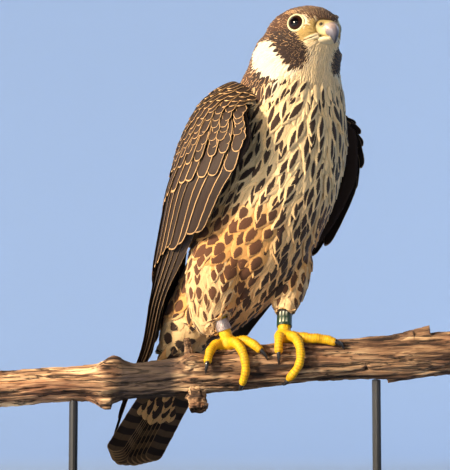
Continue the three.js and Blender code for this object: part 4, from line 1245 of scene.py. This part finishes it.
rectrices = []
for way in (-1, 1):
    for k in range(6):
        over = way * (9.5 + 3.4 * (k - 1) if k else 3.5)
        high = -1.2 * (k + 1) if k else min(way, 0) * 1.2
        rectrices.append((0.1, 1 - 0.02 * k, over, high, high, 10))
TAIL_PALE = dye(188, 150, 108)
tail_worn = (TAIL_PALE, DARK * 0.6, (0.95, 0.24, 0.0, 0.0))
tail = tail_coat("tail_feathers", rectrices, 40, tail_worn, 0.93, flight_finish)
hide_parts("tail")
chance = np.random.default_rng(11)
under = []
for row in range(5):
    for k in range(5 + row % 2):
        place = k - (4 + row % 2) / 2
        length = 0.3 + 0.085 * row
        rise = -7 - 1.0 * row + 1.1 * abs(place)
        over = place * 9 + chance.normal(0, 1)
        under.append((0.05 * row, length - 0.02 * abs(place), over, -4, rise, 8.5))
# The undertail coverts are cream; the buff blend and the tenth more brightness are painted sunlight on them
under_worn = (blend(CREAM[None], BUFF, [0.7])[0] * 1.1, DARK, (0.6, 0.0, 1.0, 0.56))
tail_coat("undertail_coverts", under, 18, under_worn, 0.75, soft_finish, under=True)
upper = []
for row in range(4):
    for k in range(4 + row % 2):
        place = k - (3 + row % 2) / 2
        length = 0.2 + 0.08 * row
        rise = 4.4 - 0.3 * row - abs(place)
        upper.append((-0.02 + 0.04 * row, length - 0.02 * abs(place), place * 10, 1.5, rise, 7.5))
tail_coat("uppertail_coverts", upper, 16, (FRINGE, DARK, (0.86, 0.0, 0.0, 0.0)), 0.75, vane_finish)

# Feet. Bright yellow skin over bone, with overlapping scutes along the top of the toes, round scales
# on the leg and soft pads below. The toes grip the wood, and each ends in a black curved claw.
LEG_RADIUS = 5.2
TOE_RADIUS = 4.6
CLAW_BEND = 9
CLAW_TURN = 1.45
CLAW_RADIUS = 2.6
SCUTE = 2.3
PAD_SPAN = 10.5
# The knee in the bird's frame, the ankle and each toe's path as x, angle round the branch, and height
FEET = {
    "right": {
        "knee": (-32, 24, 64),
        "ankle": (3, 4, 7),
        "inner": [(0, 8, 5), (-9, 20, 6), (-14, 44, 5), (-16, 70, 4.2)],
        "middle": [(5, 12, 6), (11, 34, 7), (17, 64, 6.5), (18.5, 98, 5.2), (15, 130, 4)],
        "outer": [(8, 8, 5.4), (18, 20, 6), (26.5, 38, 5), (33, 54, 4)],
        "hind": [(2, -8, 5.4), (0, -30, 6), (-3, -58, 5), (-5, -80, 4.2)],
    },
    "left": {
        "knee": (27, -10, 64),
        "ankle": (54, 4, 7),
        "inner": [(52, 10, 5.4), (49.5, 24, 6.6), (48.5, 46, 5.6), (48.5, 66, 4.2)],
        "middle": [(57, 12, 6), (64, 36, 7.4), (68, 66, 7), (66, 98, 5.6), (56, 130, 4.4)],
        "outer": [(62, 14, 5.4), (76, 30, 5.6), (90, 34, 5), (101, 46, 4.4)],
        "hind": [(54, -8, 5.4), (52, -30, 6), (49, -58, 5), (47, -80, 4.2)],
    },
}
skin_yellow, wire, shader = new_finish("scaled_yellow_skin", Subsurface_Weight=0.06)
scales = (wire.place().cells(820.0) * 6).held()
cloud = wire.place().noise(110.0, 3.0)
grime = wire.place().noise(45.0, 5.0)
yellow = (scales * 0.35 + cloud * 0.9).held().tinted(colour(206, 122, 4), colour(248, 204, 14))
soiled = (((grime - 0.6) * 6).held() * 0.45).tinted(yellow, colour(128, 92, 40))
# Painted shade: the creases between the scutes are darkened towards brown
crease_shaded = wire.attribute("crease", 2) * 0.65
fed(crease_shaded.tinted(soiled, colour(128, 62, 4)), shader, "Base Color")
fed(0.36 + 0.3 * cloud, shader, "Roughness")
fed(wire, shader, "Normal", bump=scales, strength=0.35, distance=0.0004)
claw_finish, wire, shader = new_finish("claw_black", Coat_Weight=0.4)
streak = wire.place().noise(240.0, 3.0)
fed(streak.tinted(colour(12, 12, 14), colour(52, 50, 56)), shader, "Base Color")
fed(0.16 + 0.25 * streak, shader, "Roughness")


def at_bark(x, degrees, over):
    """A place over the branch: millimetres along it, degrees round it, and millimetres off the bark."""
    return np.array(on_branch(x / 1000, math.radians(degrees), over / 1000))


def placed_piece(shape, name, material, node=None):
    """A finished shape that rides on the bird, and stands for a node or is loose."""
    piece = finished(shape, name, material)
    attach(piece, "root")
    if node:
        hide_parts(node)
    return piece


def ways(path, u, hint):
    """The ways out and across at u on a path: the hint turned square to it, and square to both."""
    ahead = unit(along(path, min(u + 0.01, 1)) - along(path, max(u - 0.01, 0)))
    out = unit(hint - ahead * (hint @ ahead))
    return out, np.cross(ahead, out)


def toe_shape(rows):
    """A toe along its path, with scutes and painted shade in the creases between them above, and pads below.
    """
    path = np.array([at_bark(*row) for row in rows])
    length = np.linalg.norm(np.diff(path, axis=0), axis=1).sum() * 1000

    def place(u, angle):
        here = along(path, u)
        away = here - np.array(branch_axis(here[0]))
        out, side = ways(path, u, away * [0, 1, 1])
        radius = TOE_RADIUS * (1.02 - 0.2 * u)
        rise, run = math.sin(angle), u * length
        scute = 0.6 * (1 - (run / SCUTE) % 1) * max(rise + 0.25, 0) / 1.25
        pad = 1.0 * abs(math.sin(math.pi * run / PAD_SPAN)) ** 0.7 * max(-rise, 0)
        knuckle = 0.25 * math.cos(math.tau * run / PAD_SPAN)
        end = max((u - 0.88) / 0.12, 0)
        radius = (radius + scute + pad + knuckle - 0.35) * max(math.sqrt(1 - end * end), 0.1)
        return here + radius / 1000 * (out * rise + side * math.cos(angle))

    shape = rod(28, int(length / 0.4))
    crease = shape.verts.layers.float_color.new("crease")
    for vert in shape.verts:
        share = vert.co.z * length / SCUTE % 1
        dark = max(1 - min(share, 1 - share) / 0.2, 0) * min(max(vert.co.y + 0.6, 0), 1)
        vert[crease] = (dark, dark, dark, 1)
    return shaped(shape, place)


def claw_shape(rows):
    """A claw that bends down from the end of a toe."""
    before, tip = (at_bark(*row) for row in rows[-2:])
    ahead = unit(tip - before)
    out = unit((tip - np.array(branch_axis(rows[-1][0] / 1000))) * [0, 1, 1])

    def middle(u):
        turn = CLAW_TURN * u
        forward = CLAW_BEND * math.sin(turn) - 1
        down = CLAW_BEND * (1 - math.cos(turn)) - 0.6
        return tip + (ahead * forward - out * down) / 1000

    def place(u, angle):
        way = unit(middle(u + 0.01) - middle(u - 0.01))
        side = unit(np.cross(way, out))
        over = np.cross(side, way)
        radius = CLAW_RADIUS * (1 - u) ** 0.72 + 0.16
        return middle(u) + radius / 1000 * (0.82 * side * math.cos(angle) + over * math.sin(angle))

    return shaped(rod(18, 26), place)


def leg_path(foot):
    return np.array([bird(foot["knee"]), at_bark(*foot["ankle"])])


def on_leg(foot, u, angle, radius):
    """A point round the leg at u from knee to ankle, radius in millimetres at the knee."""
    top, bottom = leg_path(foot)
    ahead = unit(bottom - top)
    across = unit(np.array([1, 0, 0]) - ahead * ahead[0])
    over = np.cross(ahead, across)
    swell = radius + LEG_RADIUS * 0.15 * u
    away = across * math.cos(angle) + over * 1.1 * math.sin(angle)
    return top + (bottom - top) * u + swell / 1000 * away


def scaly(point, high, size):
    """How far a round scale stands up at a point."""
    near = noise.voronoi(Vector(point) * 1000 / size)[0][0]
    return high * max(1 - near * near * 2.4, 0)


def leg_shape(foot):
    """The bare leg with its round scales, and the pad where the toes meet."""

    def place(u, angle):
        bare = on_leg(foot, u, angle, LEG_RADIUS)
        return on_leg(foot, u, angle, LEG_RADIUS - 0.2 + scaly(bare, 0.45, 2.4))

    shape = shaped(rod(40, 70), place)
    ball = bmesh.new()
    bmesh.ops.create_uvsphere(ball, u_segments=40, v_segments=28, radius=1)
    x, angle, _ = foot["ankle"]
    centre = at_bark(x, angle, 5.5)
    for vert in ball.verts:
        way = np.array(vert.co)
        surface = centre + way * [0.009, 0.0084, 0.0074]
        vert.co = Vector(surface + way * scaly(surface, 0.0005, 2.6))
    poured(ball, shape)
    return shape


for side, foot in FEET.items():
    placed_piece(leg_shape(foot), f"shank_{side}", skin_yellow, f"leg_{side}")
    for toe in ("inner", "middle", "outer", "hind"):
        end = f"{side}_{toe}"
        placed_piece(toe_shape(foot[toe]), f"digit_{end}", skin_yellow, f"toe_{end}")
        placed_piece(claw_shape(foot[toe]), f"talon_{end}", claw_finish, f"claw_{end}")

# Leg bands. On the right leg a worn ring of pinkish bare metal, bent round until its ends meet. On the
# left leg a taller painted ring, black over dark green, with plain pale marks.
ring_metal, wire, shader = new_finish("ring_metal", Metallic=0.85)
dents = wire.place().noise(330.0, 4.0)
scratched = (1 - wire.place().cells(520.0) * 9).held()
battered = (dents * 0.7 + scratched * 0.5).held()
fed(battered.tinted(colour(236, 218, 212), colour(150, 132, 130)), shader, "Base Color")
fed(0.25 + 0.4 * dents, shader, "Roughness")
fed(wire, shader, "Normal", bump=dents + scratched * 0.3, strength=0.5, distance=0.0004)
ring_paint, wire, shader = new_finish("ring_paint", Coat_Weight=0.3)
rubbed = wire.place().noise(420.0, 4.0)
dulled = ((rubbed - 0.55) * 3).held() * 0.3
fed(dulled.tinted(wire.attribute("paint"), colour(90, 96, 92)), shader, "Base Color")
fed(0.28 + 0.3 * rubbed, shader, "Roughness")
RING_CORNERS = 40
SEAM_WIDTH = 0.045
PALE_PAINT = colour(226, 224, 206)
BLACK_PAINT = colour(22, 24, 27)
GREEN_PAINT = colour(26, 58, 42)
GREEN_FROM = 0.56
# Where the marks are: down the leg from the knee, and round it from the way that they face
MARKS_FACE = 1.75
MARKS = [(run, turn) for run in (0.47, 0.66) for turn in (-0.42, 0.0, 0.42)]
MARK_HALF = (0.055, 0.1)


def ring_shape(foot, start, end, wall, seam):
    """A ring round the leg: out over its wall, down, in and up again, with rounded rims."""
    profile = []
    for k in range(RING_CORNERS):
        turn = math.tau * k / RING_CORNERS
        corner = [math.copysign(abs(part) ** 0.25, part) for part in (math.cos(turn), math.sin(turn))]
        profile.append((LEG_RADIUS + 0.55 * wall + 0.45 * wall * corner[0], 0.5 + 0.5 * corner[1]))
    shape = bmesh.new()
    verts = [shape.verts.new((radius, 0, run)) for radius, run in profile]
    edges = [shape.edges.new((one, other)) for one, other in zip(verts, verts[1:] + verts[:1])]
    bmesh.ops.spin(shape, geom=verts + edges, axis=(0, 0, 1), angle=math.tau, steps=120, use_merge=True)
    for vert in shape.verts:
        radius, angle = math.hypot(vert.co.x, vert.co.y), math.atan2(vert.co.y, vert.co.x)
        gap = math.exp(-(((angle - seam) / SEAM_WIDTH) ** 2))
        dent = 0.12 * noise.noise(Vector((vert.co.x, vert.co.y, vert.co.z * 12)) * 0.5)
        run = start + (end - start) * vert.co.z
        vert.co = Vector(on_leg(foot, run, angle, radius - 0.5 * wall * gap + dent))
    return shape


metal_ring = ring_shape(FEET["right"], start=0.5, end=0.74, wall=1.1, seam=2.0)
placed_piece(metal_ring, "ring_right", ring_metal, "band_right")
painted_ring = ring_shape(FEET["left"], start=0.36, end=0.78, wall=1.3, seam=1.2)
ring = placed_piece(painted_ring, "ring_left", ring_paint, "band_left")
top, bottom = leg_path(FEET["left"])
down = unit(bottom - top)
across = unit(np.array([1, 0, 0]) - down * down[0])
over = np.cross(down, across)
tints = []
for vert in ring.data.vertices:
    away = np.array(vert.co) - top
    run = away @ down / np.linalg.norm(bottom - top)
    around = math.atan2(away @ over, away @ across) - MARKS_FACE
    front = math.atan2(math.sin(around), math.cos(around))
    tint = BLACK_PAINT if run < GREEN_FROM else GREEN_PAINT
    for mark_run, mark_turn in MARKS:
        if abs(run - mark_run) < MARK_HALF[0] and abs(front - mark_turn) < MARK_HALF[1]:
            tint = PALE_PAINT
    tints.append(tint)
painted = ring.data.attributes.new("paint", "FLOAT_COLOR", "POINT")
painted.data.foreach_set("color", np.array(tints, np.float32).ravel())

# Bill and cere. Horn grows out of the soft pale cere, which holds the round nostrils. The upper bill
# is notched and hooks down over the lower one, and pale skin rims the mouth back to its corners.
bill_tip = tuple(from_head(42, 0, -16))
bill_horn, wire, shader = new_finish("bill_horn", Coat_Weight=0.35)
grown = wire.place().noise(260.0, 3.0)
run = (wire.place().distance(bill_tip) * 62 + grown * 0.22 - 0.12).held()
shade = run.ramp(
    (0.0, colour(34, 34, 42)),
    (0.35, colour(72, 72, 88)),
    (0.7, colour(128, 120, 132)),
    (1.0, colour(196, 170, 162)),
)
fed(shade, shader, "Base Color")
fed(0.24 + 0.25 * grown, shader, "Roughness")
pale_horn, wire, shader = new_finish("pale_horn", Coat_Weight=0.25)
grown = wire.place().noise(300.0, 3.0)
fed(grown.tinted(colour(204, 178, 138), colour(244, 226, 188)), shader, "Base Color")
fed(0.3 + 0.25 * grown, shader, "Roughness")
cere_skin, wire, shader = new_finish("cere_skin", Subsurface_Weight=0.08)
pores = wire.place().noise(700.0, 3.0)
cloud = wire.place().noise(150.0)
bare_skin = (cloud * 0.7 + pores * 0.4).held().tinted(colour(206, 184, 122), colour(240, 224, 176))
behind = ((wire.place().distance(bill_tip) - 0.0175) * 260 + (cloud - 0.5) * 2).held()
fed((behind * 0.8).tinted(bare_skin, colour(168, 138, 78)), shader, "Base Color")
fed(0.34 + 0.25 * pores, shader, "Roughness")
fed(wire, shader, "Normal", bump=pores, strength=0.3, distance=0.0003)
# Near black for the mouth's line and the nostrils' wells: painted shade in the gap between the bills and
# inside the holes
mouth_dark, wire, shader = new_finish("mouth_dark", Roughness=0.5)
mouth_mottle = wire.place().noise(300.0)
fed(mouth_mottle.tinted(colour(26, 16, 14), colour(64, 44, 38)), shader, "Base Color")
# Rows of the three forms, given as forward and up on the head, half width, and reach up and down
CERE = [
    [22, -0.4, 12, 8.8, 8.8],
    [27, -0.4, 11.4, 8.8, 8.4],
    [31.4, -1.0, 9.8, 8.2, 7.6],
    [35.0, -1.9, 8.7, 7.7, 7.1],
    [38.4, -3.8, 7.1, 6.8, 6.4],
]
UPPER_BILL = [
    [34.5, -1.8, 8.2, 7.2, 6.4],
    [37.0, -2.6, 7.6, 6.9, 6.3],
    [39.2, -4.6, 6.3, 6.2, 6.0],
    [41.0, -7.5, 4.6, 4.9, 5.0],
    [42.0, -11.0, 2.9, 3.3, 3.6],
    [42.1, -14.6, 1.4, 1.5, 1.6],
    [41.2, -17.0, 0.3, 0.4, 0.4],
]
LOWER_BILL = [
    [22, -10.2, 11.0, 2.8, 4.2],
    [28, -10.4, 9.8, 2.4, 3.9],
    [34, -10.6, 7.8, 2.0, 3.3],
    [38.8, -10.9, 4.6, 1.5, 2.3],
    [40.4, -11.0, 1.2, 0.6, 0.9],
]
NOSTRIL_AT = (35.2, 9.5, 1.8)
NOSTRIL_RIM = [(1.6, -0.9), (1.6, 0.3), (1.9, 0.65), (2.4, 0.45), (2.9, -0.6), (2.2, -1.2)]
NOSTRIL_WELL = [(0.0, 0.3), (0.4, 0.25), (0.55, 0.0), (1.7, 0.1), (1.75, -1.1), (0.0, -1.1)]
# Where the cere sinks round a nostril: forward on the head, up from the cere's middle, and its spread
DENT_AT = (35.4, 3.4)
DENT_SPREAD = 2.2
# Where along the upper bill its notch and its tooth are, and their spread
NOTCH_AT = 0.5
TOOTH_AT = 0.6
TOOTH_SPREAD = 0.05
# The line of the mouth from its corner to the bill, forward, to the side and up on the head
MOUTH = [(22.6, 20.2, -11.6), (28, 15.4, -9.6), (33.5, 10.2, -8.2), (39, 6.6, -8.6)]


def bill_shape(rows, sides, steps, square, detail=None):
    """A form along the head's own forward line, whose surface a detail may move."""

    def place(u, angle):
        f, h, wide, up, low = along(rows, u)
        before, after = along(rows, max(u - 0.02, 0)), along(rows, min(u + 0.02, 1))
        slope = math.atan2(after[1] - before[1], after[0] - before[0])
        over = math.copysign(abs(math.cos(angle)) ** square, math.cos(angle)) * wide
        rise = math.copysign(abs(math.sin(angle)) ** square, math.sin(angle))
        rise *= up if rise > 0 else low
        if detail:
            over, rise = detail(u, angle, over, rise)
        return from_head(f - rise * math.sin(slope), over, h + rise * math.cos(slope))

    return shaped(rod(sides, steps), place)


def nostril_dent(u, angle, over, rise):
    """The cere sinks a little round each nostril."""
    away = math.hypot(along(CERE, u)[0] - DENT_AT[0], rise - DENT_AT[1])
    return over * (1 - 0.1 * math.exp(-((away / DENT_SPREAD) ** 2))), rise


def tooth(u, angle, over, rise):
    """The tomial tooth: a point on the cutting edge, just behind the hook."""
    low = max(-math.sin(angle), 0)
    point = math.exp(-(((u - TOOTH_AT) / TOOTH_SPREAD) ** 2))
    point -= 0.6 * math.exp(-(((u - NOTCH_AT) / TOOTH_SPREAD) ** 2))
    return over, rise - 0.9 * point * low


swelling = bill_shape(CERE, 40, 30, 0.9, nostril_dent)
cere = placed_piece(swelling, "cere_swelling", cere_skin, "cere")
upper_bill = bill_shape(UPPER_BILL, 36, 48, 0.92, tooth)
placed_piece(upper_bill, "hooked_bill", bill_horn, "bill_upper")
lower_bill = bill_shape(LOWER_BILL, 32, 30, 0.85)
placed_piece(lower_bill, "under_bill", pale_horn, "bill_lower")


def head_lathe(profile, steps, centre, way, stretch=0.0):
    """A profile of radius and height spun round a way out of the head, wider along f by stretch."""
    closed = profile[0][0] > 0.01
    shape = bmesh.new()
    verts = [shape.verts.new((radius, 0, high)) for radius, high in profile]
    links = list(zip(verts, verts[1:] + verts[:1])) if closed else list(zip(verts, verts[1:]))
    edges = [shape.edges.new(pair) for pair in links]
    bmesh.ops.spin(shape, geom=verts + edges, axis=(0, 0, 1), angle=math.tau, steps=steps, use_merge=True)
    bmesh.ops.remove_doubles(shape, verts=shape.verts, dist=1e-4)
    origin = from_head(0, 0, 0)
    out = unit(from_head(*way) - origin)
    forward = unit(from_head(1, 0, 0) - origin)
    forward = unit(forward - out * (forward @ out))
    up = np.cross(out, forward)
    for vert in shape.verts:
        x, y, z = vert.co
        longer = 1 + stretch * (x / max(math.hypot(x, y), 1e-6)) ** 2
        vert.co = Vector(from_head(*centre) + (forward * x * longer + up * y + out * z) / 1000)
    return shape


def strip(points, radii, name, material, lift):
    """A soft strip along points of the head, laid on the skin and tapered by its radii."""
    path = []
    for point in points:
        place, normal, _, _ = skin_tree.find_nearest(Vector(from_head(*point)))
        path.append(np.array(place) + np.array(normal) * lift / 1000)
    path = np.array(path)
    radii = np.array(radii, float)[:, None]

    def place_strip(u, angle):
        out, side = ways(path, u, path.mean(0) - from_head(5, 0, -5))
        radius = along(radii, u)[0] / 1000
        return along(path, u) + radius * (0.8 * out * math.sin(angle) + side * math.cos(angle))

    return placed_piece(shaped(rod(12, 40), place_strip), name, material)


# Each strip's place before and above the mouth's line, its radii, finish and lift off the skin
MOUTH_STRIPS = {
    "rim": (0, 1.3, [0.5, 1.2, 1.6, 1.5], pale_horn, 0.5),
    "sill": (-0.3, -1.5, [0.4, 1.1, 1.6, 1.5], pale_horn, 0.4),
    # The dark line is painted shade in the gap between the bills
    "line": (0, 0, [0.35, 0.6, 0.7, 0.7], mouth_dark, 0.6),
}
cere_tree = tree_of(cere)
for way, side in ((-1, "right"), (1, "left")):
    nostril = Vector(from_head(NOSTRIL_AT[0], way * NOSTRIL_AT[1], NOSTRIL_AT[2]))
    place, normal, _, _ = cere_tree.find_nearest(nostril)
    centre = to_head(np.array([place[:]]))[0]
    out = to_head(np.array([(place + normal * 0.01)[:]]))[0] - centre
    rim = head_lathe(NOSTRIL_RIM, 28, centre, out)
    placed_piece(rim, f"nostril_rim_{side}", cere_skin)
    # The dark well is painted shade inside the nostril
    well = head_lathe(NOSTRIL_WELL, 24, centre, out)
    placed_piece(well, f"nostril_well_{side}", mouth_dark)
    for part, (ahead, high, radii, material, lift) in MOUTH_STRIPS.items():
        points = [(f + ahead, way * over, h + high) for f, over, h in MOUTH]
        strip(points, radii, f"mouth_{part}_{side}", material, lift)

# Eyes. Large, dark and wet: a black pupil in a very dark brown iris under a clear bulge, framed by
# bare pale yellow lids with fine folds.
eye_wet, wire, shader = new_finish("eye_wet", Roughness=0.05, Specular_IOR_Level=0.35)
flecks = wire.place().noise(900.0, 3.0)
iris = (wire.attribute("toward", 2) + (flecks - 0.5) * 0.02).ramp(
    (0.0, colour(10, 7, 6)),
    (0.62, colour(22, 12, 9)),
    (0.72, colour(54, 28, 15)),
    (0.885, colour(36, 19, 11)),
    (0.91, colour(5, 4, 4)),
)
fed(iris, shader, "Base Color")
lid_skin, wire, shader = new_finish("lid_skin", Subsurface_Weight=0.08)
folds = wire.place().noise(800.0, 3.0)
fed(folds.tinted(colour(214, 198, 132), colour(250, 244, 206)), shader, "Base Color")
fed(0.35 + 0.3 * folds, shader, "Roughness")
fed(wire, shader, "Normal", bump=folds, strength=0.4, distance=0.0003)
EYE_RADIUS = 8.55
EYE_FORWARD = 0.5
EYE_UP = 0.06
LID_OUT = 4.6
# The lids' section round the eye, as radius and height out of the head
LID_PROFILE = [
    (6.6, 0.2), (6.7, 1.15), (6.95, 1.5), (7.25, 1.45), (7.45, 1.2), (7.7, 1.3), (7.85, 1.15), (7.95, 0.85),
    (8.1, 0.85), (8.3, 0.4), (8.45, -0.5), (8.4, -1.8), (6.8, -1.8),
]
for way, side in ((-1, "right"), (1, "left")):
    centre = (EYE_AT[0], way * EYE_AT[1], EYE_AT[2])
    outward = np.array([EYE_FORWARD, way, EYE_UP])
    ball = bmesh.new()
    bmesh.ops.create_uvsphere(ball, u_segments=64, v_segments=48, radius=EYE_RADIUS)
    origin = from_head(0, 0, 0)
    out = unit(from_head(*outward) - origin)
    turn = Vector((0, 0, 1)).rotation_difference(Vector(out))
    looks = []
    for vert in ball.verts:
        looks.append(max(vert.co.z / EYE_RADIUS, 0))
        vert.co = Vector(from_head(*centre)) + (turn @ vert.co) / 1000
    eye = placed_piece(ball, f"eyeball_{side}", eye_wet, f"eye_{side}")
    facing = eye.data.attributes.new("toward", "FLOAT", "POINT")
    facing.data.foreach_set("value", np.array(looks, np.float32))
    ring_at = tuple(np.array(centre) + unit(outward) * LID_OUT)
    lids = head_lathe(LID_PROFILE, 72, ring_at, outward, 0.05)
    placed_piece(lids, f"lids_{side}", lid_skin)
